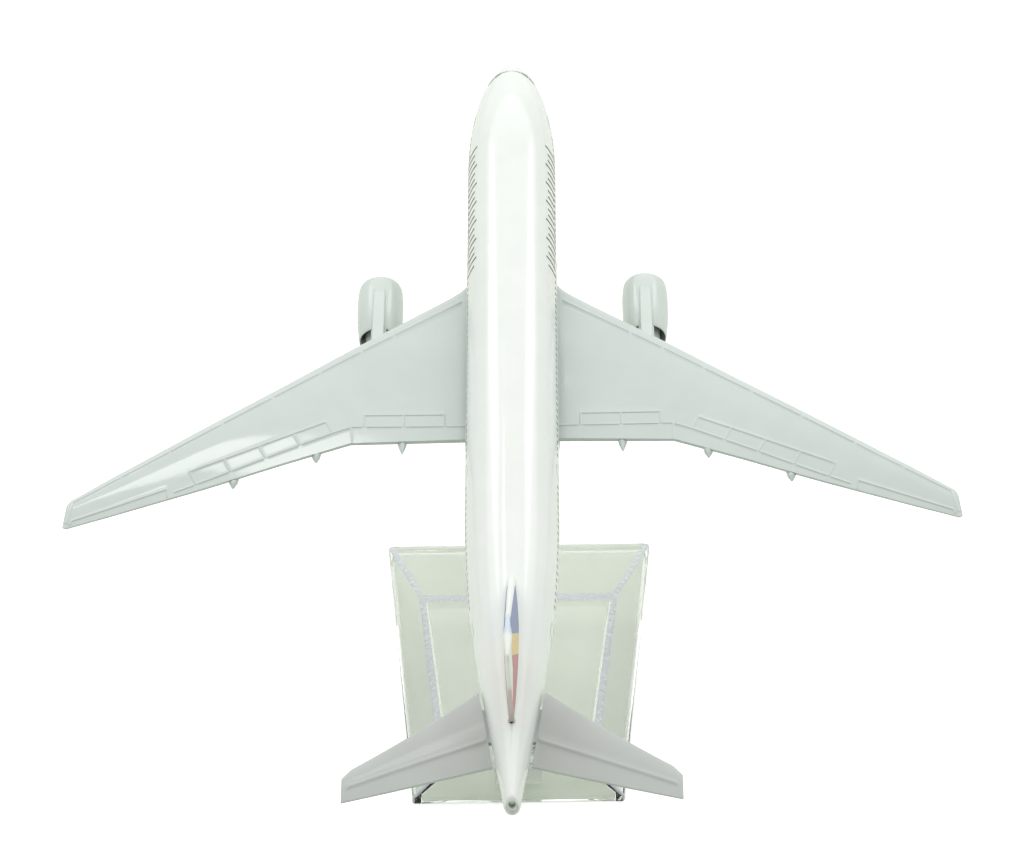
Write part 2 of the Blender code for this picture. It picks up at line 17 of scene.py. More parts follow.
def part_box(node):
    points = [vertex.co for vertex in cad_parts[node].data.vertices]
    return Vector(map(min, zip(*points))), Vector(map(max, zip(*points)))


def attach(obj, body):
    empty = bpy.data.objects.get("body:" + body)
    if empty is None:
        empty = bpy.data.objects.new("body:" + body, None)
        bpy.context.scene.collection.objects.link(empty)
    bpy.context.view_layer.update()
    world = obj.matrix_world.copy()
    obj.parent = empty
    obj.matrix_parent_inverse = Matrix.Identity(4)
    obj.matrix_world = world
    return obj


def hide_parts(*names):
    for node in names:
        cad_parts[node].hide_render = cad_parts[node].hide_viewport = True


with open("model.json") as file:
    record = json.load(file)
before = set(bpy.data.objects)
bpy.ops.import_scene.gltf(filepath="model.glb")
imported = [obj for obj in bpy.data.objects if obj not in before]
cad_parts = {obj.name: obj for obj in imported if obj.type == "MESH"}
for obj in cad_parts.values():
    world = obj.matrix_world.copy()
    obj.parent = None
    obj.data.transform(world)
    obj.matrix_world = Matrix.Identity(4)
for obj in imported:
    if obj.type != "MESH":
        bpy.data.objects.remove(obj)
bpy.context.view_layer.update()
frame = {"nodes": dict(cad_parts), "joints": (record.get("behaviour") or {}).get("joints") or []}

MM = 0.001
PIN_S = 76.0

# ------------------------------------------------------------------ the frame's places
swivel = next(j for j in frame["joints"] if j["name"] == "swivel")
AXIS = Vector(swivel["axis"]).normalized()
TILT = math.atan2(-AXIS.y, AXIS.z)
fuselage_low, fuselage_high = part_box("fuselage")
base_low, base_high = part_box("stand_base")
STAND_Y = 5.53
AXIS_HEIGHT = 58.2
AIRCRAFT = Matrix.Translation(Vector((0, STAND_Y, AXIS_HEIGHT)) * MM) @ Matrix.Rotation(TILT, 4, "X")
STAND = Matrix.Translation(Vector((0, STAND_Y, 0)) * MM)


# --------------------------------------------------------------------------- shapes, mm
BODY_R = 7.3
NOSE_DROOP, NOSE_TOP_LEN, NOSE_BOTTOM_LEN, NOSE_SIDE_LEN = -1.3, 27.0, 17.0, 28.4
TAIL_SIDE_START, TAIL_SIDE_LINEAR = 102.9, 137.7
TAIL_BOTTOM_START, TAIL_BOTTOM_LINEAR = 100.0, 136.0
TAIL_TOP_START = 118.0
SPLIT_H = -2.2
FAIRING_S = (44.0, 92.4)
WING_H = ((0.0, -3.7), (6.9, -3.7), (25.3, -1.2), (70.0, 3.4))
WING_T = ((0.0, 2.8), (6.9, 2.8), (25.3, 2.0), (70.0, 1.0))
TAIL_X = (5.05, 24.6)
TAIL_ROOT_S, TAIL_TIP_S = (137.6, 151.4), (153.9, 158.9)
TAIL_H = (1.6, 3.6)
ENGINE_X, ENGINE_H, LIP = 21.6, -7.0, 46.6
TRACK_X = (17.3, 30.6, 43.2)


def smooth(t):
    t = min(max(t, 0.0), 1.0)
    return t * t * (3 - 2 * t)


def table(rows, x):
    return float(np.interp(x, [r[0] for r in rows], [r[1] for r in rows]))


def half_width(s):
    s = max(s, 0.0)
    if s < NOSE_SIDE_LEN:
        return BODY_R * (1 - (1 - s / NOSE_SIDE_LEN) ** 2.16) ** 0.59
    if s <= TAIL_SIDE_START:
        return BODY_R
    if s <= TAIL_SIDE_LINEAR:
        return BODY_R - 0.00223 * (s - TAIL_SIDE_START) ** 2
    run = TAIL_SIDE_LINEAR - TAIL_SIDE_START
    return BODY_R - 0.00223 * run**2 - 2 * 0.00223 * run * (s - TAIL_SIDE_LINEAR)


def crown(s):
    s = max(s, 0.0)
    if s < NOSE_TOP_LEN:
        return NOSE_DROOP + (BODY_R - NOSE_DROOP) * (1 - (1 - s / NOSE_TOP_LEN) ** 2.1) ** 0.62
    if s <= TAIL_TOP_START:
        return BODY_R
    return BODY_R - 0.0011 * (s - TAIL_TOP_START) ** 2


def keel(s):
    s = max(s, 0.0)
    if s < NOSE_BOTTOM_LEN:
        return NOSE_DROOP - (BODY_R + NOSE_DROOP) * (1 - (1 - s / NOSE_BOTTOM_LEN) ** 2) ** 0.55
    if s <= TAIL_BOTTOM_START:
        return -BODY_R
    if s <= TAIL_BOTTOM_LINEAR:
        return -BODY_R + 0.00278 * (s - TAIL_BOTTOM_START) ** 2
    run = TAIL_BOTTOM_LINEAR - TAIL_BOTTOM_START
    return -BODY_R + 0.00278 * run**2 + 2 * 0.00278 * run * (s - TAIL_BOTTOM_LINEAR)


def section(s):
    """Half width, middle height and half height of the fuselage."""
    top, bottom = crown(s), keel(s)
    return half_width(s), (top + bottom) / 2, (top - bottom) / 2


def brow(s, t):
    """How far the nose is cut down ahead of the windshield, which makes the panes stand steeper."""
    if not 1.0 < s < 6.2:
        return 0.0
    return 0.50 * smooth((s - 1.2) / 2.6) * (1 - smooth((s - 4.6) / 1.25)) * smooth((math.sin(t) - 0.45) / 0.4)


def skin(s, t):
    """A point of the fuselage skin, t radians round from the right side over the crown."""
    wide, middle, reach = section(s)
    return np.array((wide * math.cos(t), PIN_S - s, middle + reach * math.sin(t) - brow(s, t)))


def skin_normal(s, t):
    d = 0.05
    along = skin(s + d, t) - skin(s - d, t)
    around = skin(s, t + 0.01) - skin(s, t - 0.01)
    n = np.cross(around, along)
    n /= np.linalg.norm(n)
    centre = np.array((0, PIN_S - s, section(s)[1]))
    return n if np.dot(n, skin(s, t) - centre) > 0 else -n


def wing_le(x):
    return 50.0 + 50.5 * max(x - 6.9, 0.0) / 60.9 - 1.0 * math.exp(-max(x - 7.2, 0.0) / 0.9)


def wing_te(x):
    return float(np.interp(x, (6.9, 25.3, 67.8), (83.0, 85.6, 105.9)))


def foil(u, tail=0.28):
    if u < 0.35:
        return math.sqrt(max(1 - (1 - u / 0.35) ** 2, 0.0))
    return 1 - (1 - tail) * ((u - 0.35) / 0.65) ** 1.4


def fine_foil(u, chord, tail=0.28):
    """The same section with a tighter nose, so that the strip ahead of the slat line lies flat."""
    nose = min(1.5 / chord, 0.16)
    if u < 0.38:
        rise = math.sqrt(max(1 - (1 - min(u / nose, 1.0)) ** 2, 0.0))
        return 0.74 * rise + 0.26 * (1 - (1 - u / 0.38) ** 2)
    return 1 - (1 - tail) * ((u - 0.38) / 0.62) ** 1.4


# ----------------------------------------------------------------------- mesh building
def local(points):
    """(x, s, h) in millimetres to the aircraft's own coordinates in metres."""
    p = np.asarray(points, float).reshape(-1, 3)
    return np.stack((p[:, 0], PIN_S - p[:, 1], p[:, 2]), 1) * MM


class Shape:
    """Gathers closed bodies, with a material index for each face, into one mesh."""

    def __init__(self):
        self.verts, self.faces, self.mats = [], [], []

    def add(self, verts, faces, mat=0):
        start = len(self.verts)
        self.verts.extend(tuple(map(float, v)) for v in verts)
        for i, face in enumerate(faces):
            self.faces.append(tuple(start + k for k in face))
            self.mats.append(mat if isinstance(mat, int) else mat[i])

    def loft(self, rings, mat=0, wrap=False, caps="flat", mat_of=None):
        """Rings of equally many points; caps close the ends with a face, or a fan to a point."""
        n = len(rings[0])
        verts = [p for ring in rings for p in ring]
        faces, mats = [], []
        count = len(rings)
        for k in range(count if wrap else count - 1):
            a, b = k * n, ((k + 1) % count) * n
            for i in range(n):
                j = (i + 1) % n
                faces.append((a + i, a + j, b + j, b + i))
                mats.append(mat_of(k, i) if mat_of else mat)
        if not wrap:
            for ring_at, order in ((0, -1), ((count - 1) * n, 1)):
                ids = [ring_at + i for i in range(n)][::order]
                if caps == "fan":
                    centre = len(verts)
                    verts.append(np.mean([verts[i] for i in ids], axis=0))
                    for i in range(n):
                        faces.append((ids[i], ids[(i + 1) % n], centre))
                        mats.append(mat)
                else:
                    faces.append(tuple(ids))
                    mats.append(mat)
        self.add(verts, faces, mats)


def piece(name, shape, mats, body, replaces=(), matrix=AIRCRAFT, sharp=35):
    mesh = bpy.data.meshes.new(name)
    mesh.from_pydata(shape.verts, [], shape.faces)
    mesh.transform(matrix)
    for mat in mats:
        mesh.materials.append(mat)
    mesh.polygons.foreach_set("material_index", shape.mats)
    bm = bmesh.new()
    bm.from_mesh(mesh)
    bmesh.ops.recalc_face_normals(bm, faces=bm.faces)
    bm.to_mesh(mesh)
    bm.free()
    mesh.shade_smooth()
    mesh.set_sharp_from_angle(angle=math.radians(sharp))
    mesh.update()
    obj = bpy.data.objects.new(name, mesh)
    bpy.context.scene.collection.objects.link(obj)
    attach(obj, body)
    if replaces:
        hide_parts(*replaces)
    return obj


def boolean(target, shape, operation, matrix):
    """Joins or cuts a closed shape with the exact solver and keeps the result as the mesh."""
    mesh = bpy.data.meshes.new("tool")
    mesh.from_pydata(shape.verts, [], shape.faces)
    bm = bmesh.new()
    bm.from_mesh(mesh)
    bmesh.ops.recalc_face_normals(bm, faces=bm.faces)
    bm.to_mesh(mesh)
    bm.free()
    tool = bpy.data.objects.new("tool", mesh)
    bpy.context.scene.collection.objects.link(tool)
    tool.matrix_world = matrix
    modifier = target.modifiers.new("b", "BOOLEAN")
    modifier.operation, modifier.solver, modifier.object = operation, "EXACT", tool
    bpy.context.view_layer.update()
    graph = bpy.context.evaluated_depsgraph_get()
    made = bpy.data.meshes.new_from_object(target.evaluated_get(graph))
    target.modifiers.clear()
    old = target.data
    target.data = made
    bpy.data.meshes.remove(old)
    bpy.data.objects.remove(tool)
    made.shade_smooth()
    made.set_sharp_from_angle(angle=math.radians(25))


# ---------------------------------------------------------------------------- materials
class Nodes:
    """A short way to write shader nodes."""

    def __init__(self, name):
        self.mat = bpy.data.materials.new(name)
        self.mat.use_nodes = True
        self.tree = self.mat.node_tree
        self.shader = self.tree.nodes["Principled BSDF"]
        self.coords = self.tree.nodes.new("ShaderNodeTexCoord").outputs["Object"]

    def node(self, kind, **values):
        made = self.tree.nodes.new(kind)
        for key, value in values.items():
            setattr(made, key, value)
        return made

    def link(self, a, b):
        self.tree.links.new(a, b)

    def put(self, socket, value):
        if hasattr(value, "links"):
            self.link(value, socket)
        else:
            socket.default_value = value

    def set(self, **values):
        for key, value in values.items():
            self.put(self.shader.inputs[key.replace("_", " ")], value)
        return self

    def noise(self, scale, detail=2.0, rough=0.5, stretch=None, distortion=0.0):
        made = self.node("ShaderNodeTexNoise")
        made.inputs["Scale"].default_value = scale
        made.inputs["Detail"].default_value = detail
        made.inputs["Roughness"].default_value = rough
        made.inputs["Distortion"].default_value = distortion
        source = self.coords
        if stretch:
            mapping = self.node("ShaderNodeMapping")
            mapping.inputs["Scale"].default_value = stretch
            self.link(source, mapping.inputs["Vector"])
            source = mapping.outputs["Vector"]
        self.link(source, made.inputs["Vector"])
        return made.outputs["Fac"]

    def math(self, operation, a, b=0.0, c=0.0, clamp=False):
        made = self.node("ShaderNodeMath", operation=operation, use_clamp=clamp)
        for socket, value in zip(made.inputs, (a, b, c)):
            self.put(socket, value)
        return made.outputs[0]

    def span(self, value, low, high, to_low, to_high):
        made = self.node("ShaderNodeMapRange", clamp=True)
        for socket, item in zip(made.inputs, (value, low, high, to_low, to_high)):
            self.put(socket, item)
        return made.outputs[0]

    def mix(self, fac, a, b):
        made = self.node("ShaderNodeMix", data_type="RGBA")
        self.put(made.inputs[0], fac)
        self.put(made.inputs[6], (*a, 1.0) if isinstance(a, tuple) else a)
        self.put(made.inputs[7], (*b, 1.0) if isinstance(b, tuple) else b)
        return made.outputs[2]

    def aircraft_xyz(self):
        """The aircraft's own coordinates, undone from the place that the frame gives it."""
        back = AIRCRAFT.inverted()
        mapping = self.node("ShaderNodeMapping")
        mapping.inputs["Location"].default_value = back.to_translation()
        mapping.inputs["Rotation"].default_value = back.to_euler()
        self.link(self.coords, mapping.inputs["Vector"])
        made = self.node("ShaderNodeSeparateXYZ")
        self.link(mapping.outputs["Vector"], made.inputs[0])
        return made.outputs

    def bump(self, height, strength, distance, normal=None):
        made = self.node("ShaderNodeBump")
        made.inputs["Strength"].default_value = strength
        made.inputs["Distance"].default_value = distance
        self.link(height, made.inputs["Height"])
        if normal is not None:
            self.link(normal, made.inputs["Normal"])
        return made.outputs["Normal"]


def gloss_paint(name, light, dark, rough, coat, peel, speck=0.25, stretch=None, coat_rough=0.06):
    """Sprayed paint on a casting: slow drift in tone, dust nibs, orange peel under a clear coat."""
    n = Nodes(name)
    drift = n.noise(55, 3, 0.55)
    fine = n.noise(1500, 2, 0.5, stretch)
    tone = n.span(drift, 0.35, 0.65, 0.0, 1.0)
    colour = n.mix(tone, light, dark)
    patch = n.span(n.noise(190, 2, 0.5), 0.40, 0.62, 0.0, speck)
    colour = n.mix(patch, colour, tuple(c * 0.93 for c in dark))
    n.set(Base_Color=colour)
    n.set(Roughness=n.span(n.math("ADD", n.math("MULTIPLY", drift, 0.6), n.math("MULTIPLY", fine, 0.4)), 0.3, 0.7, rough * 0.90, rough * 1.12))
    n.shader.inputs["Coat Weight"].default_value = coat
    n.shader.inputs["Coat Roughness"].default_value = coat_rough
    n.shader.inputs["IOR"].default_value = 1.5
    peel_normal = n.bump(n.noise(620, 2, 0.45, stretch), peel, 0.00006)
    n.set(Normal=peel_normal)
    n.put(n.shader.inputs["Coat Normal"], peel_normal)
    return n.mat


WHITE_LIGHT, WHITE_DARK = (0.800, 0.835, 0.795), (0.775, 0.815, 0.775)
white = gloss_paint("white_gloss_paint", WHITE_LIGHT, WHITE_DARK, 0.20, 0.8, 0.10)
grey = gloss_paint("wing_grey_paint", (0.555, 0.612, 0.578), (0.532, 0.590, 0.558), 0.30, 0.7, 0.10)
tail_grey = gloss_paint("tailplane_grey_paint", (0.485, 0.522, 0.495), (0.443, 0.477, 0.454), 0.38, 0.2, 0.09, stretch=(0.22, 1.6, 1.6))
nacelle_grey = gloss_paint("nacelle_grey_paint", (0.60, 0.66, 0.617), (0.58, 0.64, 0.597), 0.24, 0.55, 0.10)


def print_ink(name, colour, rough=0.4):
    n = Nodes(name)
    wear = n.noise(1800, 3, 0.6)
    n.set(Base_Color=n.mix(n.span(wear, 0.42, 0.72, 0.0, 0.35), colour, tuple(c * 0.6 + 0.16 for c in colour)))
    n.set(Roughness=n.span(wear, 0.3, 0.7, rough * 0.8, rough * 1.25))
    n.shader.inputs["Coat Weight"].default_value = 0.3
    n.shader.inputs["Coat Roughness"].default_value = 0.12
    n.set(Normal=n.bump(wear, 0.12, 0.00002))
    return n.mat


ink_dark = print_ink("dark_print", (0.055, 0.058, 0.055))
ink_window = print_ink("window_print", (0.16, 0.175, 0.18), 0.3)
ink_line = print_ink("outline_print", (0.34, 0.36, 0.36))
ink_glass = print_ink("windshield_print", (0.085, 0.092, 0.092), 0.16)


def fin_paint():
    """White paint with three plain bands that run parallel to the leading edge."""
    n = Nodes("fin_banded_paint")
    drift = n.noise(55, 3, 0.55)
    fine = n.noise(1500, 2, 0.5)
    x, y, z = n.aircraft_xyz()
    # the bands slope a little more than the leading edge does
    height = n.math("MULTIPLY", z, 1000.0)
    back = n.math("SUBTRACT", PIN_S, n.math("MULTIPLY", y, 1000.0))
    place = n.math("SUBTRACT", back, n.math("MULTIPLY", height, 0.818))
    place = n.math("ADD", place, n.math("MULTIPLY", n.math("SUBTRACT", drift, 0.5), 0.10))
    front = n.math("ADD", n.math("MULTIPLY", n.math("SUBTRACT", height, 7.6), 27.8 / 26.0), 121.2)
    rear = n.math("ADD", n.math("MULTIPLY", n.math("SUBTRACT", height, 5.9), 11.2 / 27.3), 146.2)
    sides = n.math("MULTIPLY", n.math("GREATER_THAN", n.math("SUBTRACT", back, front), 0.68), n.math("GREATER_THAN", n.math("SUBTRACT", rear, back), n.span(height, 14.5, 24.0, 0.08, 2.7)))
    facing = n.node("ShaderNodeSeparateXYZ")
    n.link(n.node("ShaderNodeTexCoord").outputs["Normal"], facing.inputs[0])
    sideways = n.math("GREATER_THAN", n.math("ABSOLUTE", facing.outputs["X"]), 0.86)
    sides = n.math("MULTIPLY", n.math("MULTIPLY", sides, sideways), n.math("MULTIPLY", n.math("GREATER_THAN", height, 7.9), n.math("LESS_THAN", height, 34.3)))
    colour = n.mix(n.span(drift, 0.35, 0.65, 0, 1), WHITE_LIGHT, WHITE_DARK)
    for start, stop, tint in ((110.0, 125.0, (0.03, 0.07, 0.34)), (125.0, 128.8, (0.76, 0.52, 0.08)), (128.8, 142.0, (0.46, 0.015, 0.03))):
        inside = n.math("MULTIPLY", n.span(place, start - 0.12, start + 0.12, 0.0, 1.0), n.span(place, stop - 0.12, stop + 0.12, 1.0, 0.0))
        shade = n.mix(n.span(fine, 0.3, 0.7, 0.0, 1.0), tint, tuple(c * 0.86 + 0.01 for c in tint))
        colour = n.mix(n.math("MULTIPLY", inside, sides), colour, shade)
    overspray = n.math("MULTIPLY", n.span(height, 32.0, 33.2, 0.0, 0.42), n.span(place, 124.4, 125.2, 1.0, 0.0))
    colour = n.mix(n.math("MULTIPLY", overspray, n.math("SUBTRACT", 1.0, sides)), colour, (0.34, 0.46, 0.72))
    # the trailing edge's face below about 23 mm is tinted pinkish grey: a painted reflection of the red band, with
    # painted shade on the rear-facing edge
    edge = n.math("MULTIPLY", n.math("LESS_THAN", n.math("SUBTRACT", rear, back), 0.09), n.span(height, 20.0, 23.0, 0.75, 0.0))
    colour = n.mix(edge, colour, (0.50, 0.36, 0.36))
    n.set(Base_Color=colour)
    n.set(Roughness=n.span(fine, 0.3, 0.7, 0.30, 0.42))
    n.shader.inputs["Coat Weight"].default_value = 0.15
    n.shader.inputs["Coat Roughness"].default_value = 0.06
    peel = n.bump(n.noise(620, 2, 0.45), 0.10, 0.00006)
    n.set(Normal=peel)
    n.put(n.shader.inputs["Coat Normal"], peel)
    return n.mat


fin_bands = fin_paint()


def moulded(name, light, dark, rough, metallic=0.0, grain=0.25, stretch=None):
    n = Nodes(name)
    cloud = n.noise(240, 3, 0.55)
    fine = n.noise(3200, 3, 0.6, stretch)
    n.set(Base_Color=n.mix(n.span(cloud, 0.35, 0.65, 0, 1), light, dark))
    n.set(Roughness=n.span(fine, 0.3, 0.7, rough * 0.75, rough * 1.25))
    n.shader.inputs["Metallic"].default_value = metallic
    n.set(Normal=n.bump(fine, grain, 0.00002))
    return n.mat


dark_plastic = moulded("fan_dark_plastic", (0.065, 0.068, 0.072), (0.045, 0.047, 0.05), 0.42)
silver = moulded("core_silver_paint", (0.50, 0.54, 0.51), (0.44, 0.475, 0.45), 0.34, 0.25)
# a darker grey used as painted shade on the innermost band of the tail's outlet
outlet_shade_grey = moulded("outlet_painted_shade_grey", (0.40, 0.43, 0.40), (0.36, 0.39, 0.36), 0.5)
# near black used as painted shade far inside hollows: the channel behind the fan, the gap inside the core's nozzle lip
# and the fin's foot
hollow_shade_dark = moulded("hollow_painted_shade", (0.030, 0.032, 0.030), (0.05, 0.052, 0.05), 0.6)
steel = moulded("turned_steel", (0.56, 0.56, 0.57), (0.47, 0.47, 0.48), 0.27, 1.0, 0.35, (1, 1, 9))
blade = moulded("fan_blade_metal", (0.20, 0.205, 0.21), (0.15, 0.155, 0.16), 0.32, 0.7)


def clear_plastic(name, tenon=False):
    n = Nodes(name)
    haze = n.noise(130, 3, 0.5)
    n.set(Base_Color=n.mix(n.span(haze, 0.35, 0.65, 0, 1), (0.955, 0.975, 0.945), (0.94, 0.965, 0.93)))
    n.set(Roughness=n.span(n.noise(900, 2, 0.5), 0.3, 0.7, 0.015, 0.05))
    if tenon:
        # the glued end scatters light where it sits in the base
        split = n.node("ShaderNodeSeparateXYZ")
        n.link(n.coords, split.inputs[0])
        n.set(Transmission_Weight=n.span(split.outputs["Z"], 0.0054, 0.0064, 0.35, 1.0))
        n.set(Roughness=n.span(split.outputs["Z"], 0.0054, 0.0064, 0.30, n.span(n.noise(900, 2, 0.5), 0.3, 0.7, 0.015, 0.05)))
    else:
        n.shader.inputs["Transmission Weight"].default_value = 1.0
    n.shader.inputs["IOR"].default_value = 1.50
    n.set(Normal=n.bump(n.noise(90, 2, 0.5), 0.02, 0.0002))
    return n.mat


def bevel_shade_material(name):
    """Bevels that scatter part of the light, cooler in tone than the clear faces; this cool grey is painted shade
    standing in for the dark bands that refraction gives along the clear edges.
    """
    n = Nodes(name)
    haze = n.noise(160, 3, 0.5)
    n.set(Base_Color=n.mix(n.span(haze, 0.35, 0.65, 0, 1), (0.60, 0.635, 0.655), (0.57, 0.605, 0.625)))
    n.set(Roughness=n.span(n.noise(1100, 2, 0.5), 0.3, 0.7, 0.20, 0.32))
    n.shader.inputs["Transmission Weight"].default_value = 0.12
    n.shader.inputs["IOR"].default_value = 1.50
    n.set(Normal=n.bump(n.noise(240, 2, 0.5), 0.02, 0.00005))
    return n.mat


clear = clear_plastic("stand_clear_plastic")
clear_bevel_shade = bevel_shade_material("stand_bevel_painted_shade")
clear_arm = clear_plastic("arm_clear_plastic", tenon=True)


# ----------------------------------------------------------------------------- fuselage
def notch_edge(s):
    """Lower edge of the white casting along the belly opening. Under the wing it goes below the wing's top."""
    under = smooth((s - 48.6) / 1.6) * smooth((84.6 - s) / 1.8)
    return -2.14 - 2.4 * under


UP, LOW = 88, 40
full_edge = -2.14


def body_ring(s, flat=None):
    wide, middle, reach = section(s)
    level = flat if flat is not None else full_edge * reach / BODY_R + middle
    a = math.asin(min(max((level - middle) / reach, -0.98), 0.98))
    ring = []
    for i in range(UP):
        t = a + (math.pi - 2 * a) * i / UP
        ring.append((wide * math.cos(t), s, middle + reach * math.sin(t) - brow(s, t)))
    for i in range(LOW):
        f = i / LOW
        if flat is None:
            t = math.pi - a + (math.pi + 2 * a) * f
            ring.append((wide * math.cos(t), s, middle + reach * math.sin(t)))
        else:
            edge = wide * math.cos(a)
            ring.append((edge * (2 * f - 1), s, level))
    return ring


NOTCH = (FAIRING_S[0] - 0.10, FAIRING_S[1] + 0.10)
nose_s = [NOSE_SIDE_LEN * (1 - math.cos(math.pi / 2 * i / 46)) for i in range(1, 21)]
nose_s += list(np.linspace(nose_s[-1], 8.0, 24)[1:]) + list(np.linspace(8.0, NOSE_SIDE_LEN, 20)[1:])
mid_front = list(np.linspace(NOSE_SIDE_LEN, NOTCH[0], 11)[1:-1])
notch_s = list(np.linspace(NOTCH[0] + 0.02, NOTCH[1] - 0.02, 60))
mid_rear = list(np.linspace(NOTCH[1], TAIL_SIDE_START, 8)[1:])
tail_s = list(np.linspace(TAIL_SIDE_START, 159.0, 58)[1:])
rings = [body_ring(s) for s in nose_s + mid_front + [NOTCH[0]]]
rings += [body_ring(s, notch_edge(s)) for s in notch_s]
rings += [body_ring(s) for s in [NOTCH[1]] + mid_rear + tail_s]

# the rounded tail end with the outlet of the auxiliary unit let into it; the innermost band of the outlet is painted
# darker grey as shade
end = np.array(body_ring(159.0))
end_centre = end.mean(axis=0)
for share, back in ((0.99, 0.20), (0.96, 0.42), (0.91, 0.62), (0.85, 0.76), (0.79, 0.85), (0.73, 0.88), (0.68, 0.84), (0.645, 0.74), (0.62, 0.60), (0.57, 0.50), (0.46, 0.45), (0.40, 0.38), (0.38, 0.15), (0.34, -0.2)):
    ring = end_centre + (end - end_centre) * (share, 1, share)
    ring[:, 1] = 159.0 + back
    rings.append([tuple(p) for p in ring])
tail_rings = len(rings)

body = Shape()
# the last band inside the outlet takes the darker grey, painted shade
shade_band_start = tail_rings - 2
n_ring = UP + LOW
body.loft([[tuple(p) for p in local(r)] for r in rings], caps="fan", mat_of=lambda k, i: 1 if k >= shade_band_start else 0)
fuselage = piece("fuselage_casting", body, [white, outlet_shade_grey], "aircraft", ["fuselage"], sharp=40)


# ---------------------------------------------------------------------------------- fin
def fin_front(h):
    line = 121.2 + 27.8 * (h - 7.6) / 26.0
    low = max(h - 7.25, 0.0)
    line -= 0.9 * math.exp(-low / 0.6)
    if h > 32.4:
        line += 3.1 * (1 - math.sqrt(max(1 - ((h - 32.4) / 2.55) ** 2, 0.0)))
    return line


def fin_back(h):
    line = 146.2 + 11.2 * (h - 5.9) / 27.3
    if h > 33.0:
        line -= 1.6 * (1 - math.sqrt(max(1 - ((h - 33.0) / 1.95) ** 2, 0.0)))
    return line


def fin_half(s, h):
    """Half thickness: round in front, thickest two fifths of the way back, thin behind."""
    taper = 1 - 0.50 * min(max((h - 6.0) / 29.0, 0.0), 1.0)
    front, back = fin_front(h), fin_back(h)
    u = min(max((s - front) / (back - front), 0.0), 1.0)
    nose = 0.50 * math.sqrt(min(max((s - front) / 0.9, 0.0), 1.0) * (2 - min(max((s - front) / 0.9, 0.0), 1.0)))
    if u < 0.40:
        swell = 0.66 * math.sin(math.pi / 2 * u / 0.40) ** 0.9
    else:
        swell = 0.66 - 0.76 * ((u - 0.40) / 0.60) ** 1.7
    return taper * (nose + swell)


def fin_ring(h_nominal, flare=0.0, rise=None, shrink=1.0):
    """One level of the fin. The root levels ride on the crown and flare out into it."""
    h = max(h_nominal, 7.25)
    front, back = fin_front(h), fin_back(h)
    points, steps = [], 30
    sides = []
    for i in range(steps + 1):
        u = i / steps
        u = 0.5 * (1 - math.cos(math.pi * u * 0.93)) / (0.5 * (1 - math.cos(math.pi * 0.93)))
        s = front + (back - front) * u
        sides.append((s, fin_half(s, h) * shrink))
    for sign in (1, -1):
        order = sides if sign > 0 else sides[::-1]
        for k, (s, half) in enumerate(order):
            index = k if sign > 0 else steps - k
            swell = (0.35 + 0.65 * smooth((s - front) / 6.0)) * (1 - 0.7 * smooth((s - back + 9.0) / 9.0))
            spread = half + flare * swell
            moved = s + (flare * 0.3 if index == steps else 0.0) - (flare * 0.6 if index == 0 else 0.0)
            if rise is None:
                z = h_nominal
            else:
                wide, middle, reach = section(moved)
                z = middle + reach * math.sqrt(max(1 - (spread / wide) ** 2, 0.0)) + rise
            points.append((sign * spread, moved, z))
    return points


FILLET = 0.55
fin_rings = [fin_ring(7.25, FILLET * 1.25, -0.7), fin_ring(7.25, FILLET, -0.03)]
for k in range(1, 7):
    angle = math.pi / 2 * k / 6
    fin_rings.append(fin_ring(7.25 + FILLET * (1 - math.cos(angle)) * 0.8, FILLET * (1 - math.sin(angle)), FILLET * (1 - math.cos(angle))))
fin_levels = [8.4, 8.8, 9.3, 9.9, 10.6, 11.5, 12.5, 13.7, 15.0, 17.0, 19.5, 22.0, 24.5, 27.0, 29.0, 30.5, 31.6, 32.4, 33.0, 33.5, 33.9, 34.2]
for h in fin_levels:
    fin_rings.append(fin_ring(h))
for h, shrink in ((34.36, 0.97), (34.49, 0.90), (34.62, 0.78), (34.71, 0.60), (34.77, 0.36), (34.79, 0.12)):
    fin_rings.append(fin_ring(h, shrink=shrink))
top_start = len(fin_rings) - 8
fin = Shape()
steps = 31


def fin_mat(k, i):
    return 1


fin.loft([[tuple(p) for p in local(r)] for r in fin_rings], mat_of=fin_mat, caps="fan")
piece("tail_fin", fin, [white, fin_bands], "aircraft", sharp=48)

# a small near-black patch at the foot of the fin's trailing edge: painted shade where the fin's root meets the tail
# cone
foot_shade = Shape()
foot_shade_rings = []
for lift, r in ((-0.25, 0.05), (-0.24, 0.20), (0.02, 0.27), (0.12, 0.24), (0.18, 0.14), (0.20, 0.03)):
    foot_shade_rings.append([tuple(p) for p in local([(r * 0.9 * math.cos(a), 146.75 + r * 1.15 * math.sin(a), crown(146.6) + lift) for a in (2 * math.pi * k / 20 for k in range(20))])])
foot_shade.loft(foot_shade_rings)
piece("fin_foot_painted_shade", foot_shade, [hollow_shade_dark], "aircraft", sharp=50)


# -------------------------------------------------------------------------- printed trim
def slab(shape, outline, out=0.022, into=0.05, mat=0):
    """A thin closed patch of print on the fuselage, from an outline of (s, t) points."""
    top, bottom = [], []
    for s, t in outline:
        p, n = skin(s, t), skin_normal(s, t)
        top.append((p + n * out) * MM)
        bottom.append((p - n * into) * MM)
    c = np.mean(np.array(outline), axis=0)
    p, n = skin(*c), skin_normal(*c)
    k = len(outline)
    verts = top + bottom + [(p + n * out) * MM, (p - n * into) * MM]
    faces = []
    for i in range(k):
        j = (i + 1) % k
        faces += [(i, j, k + j, k + i), (i, j, 2 * k), (k + j, k + i, 2 * k + 1)]
    shape.add(verts, faces, mat)


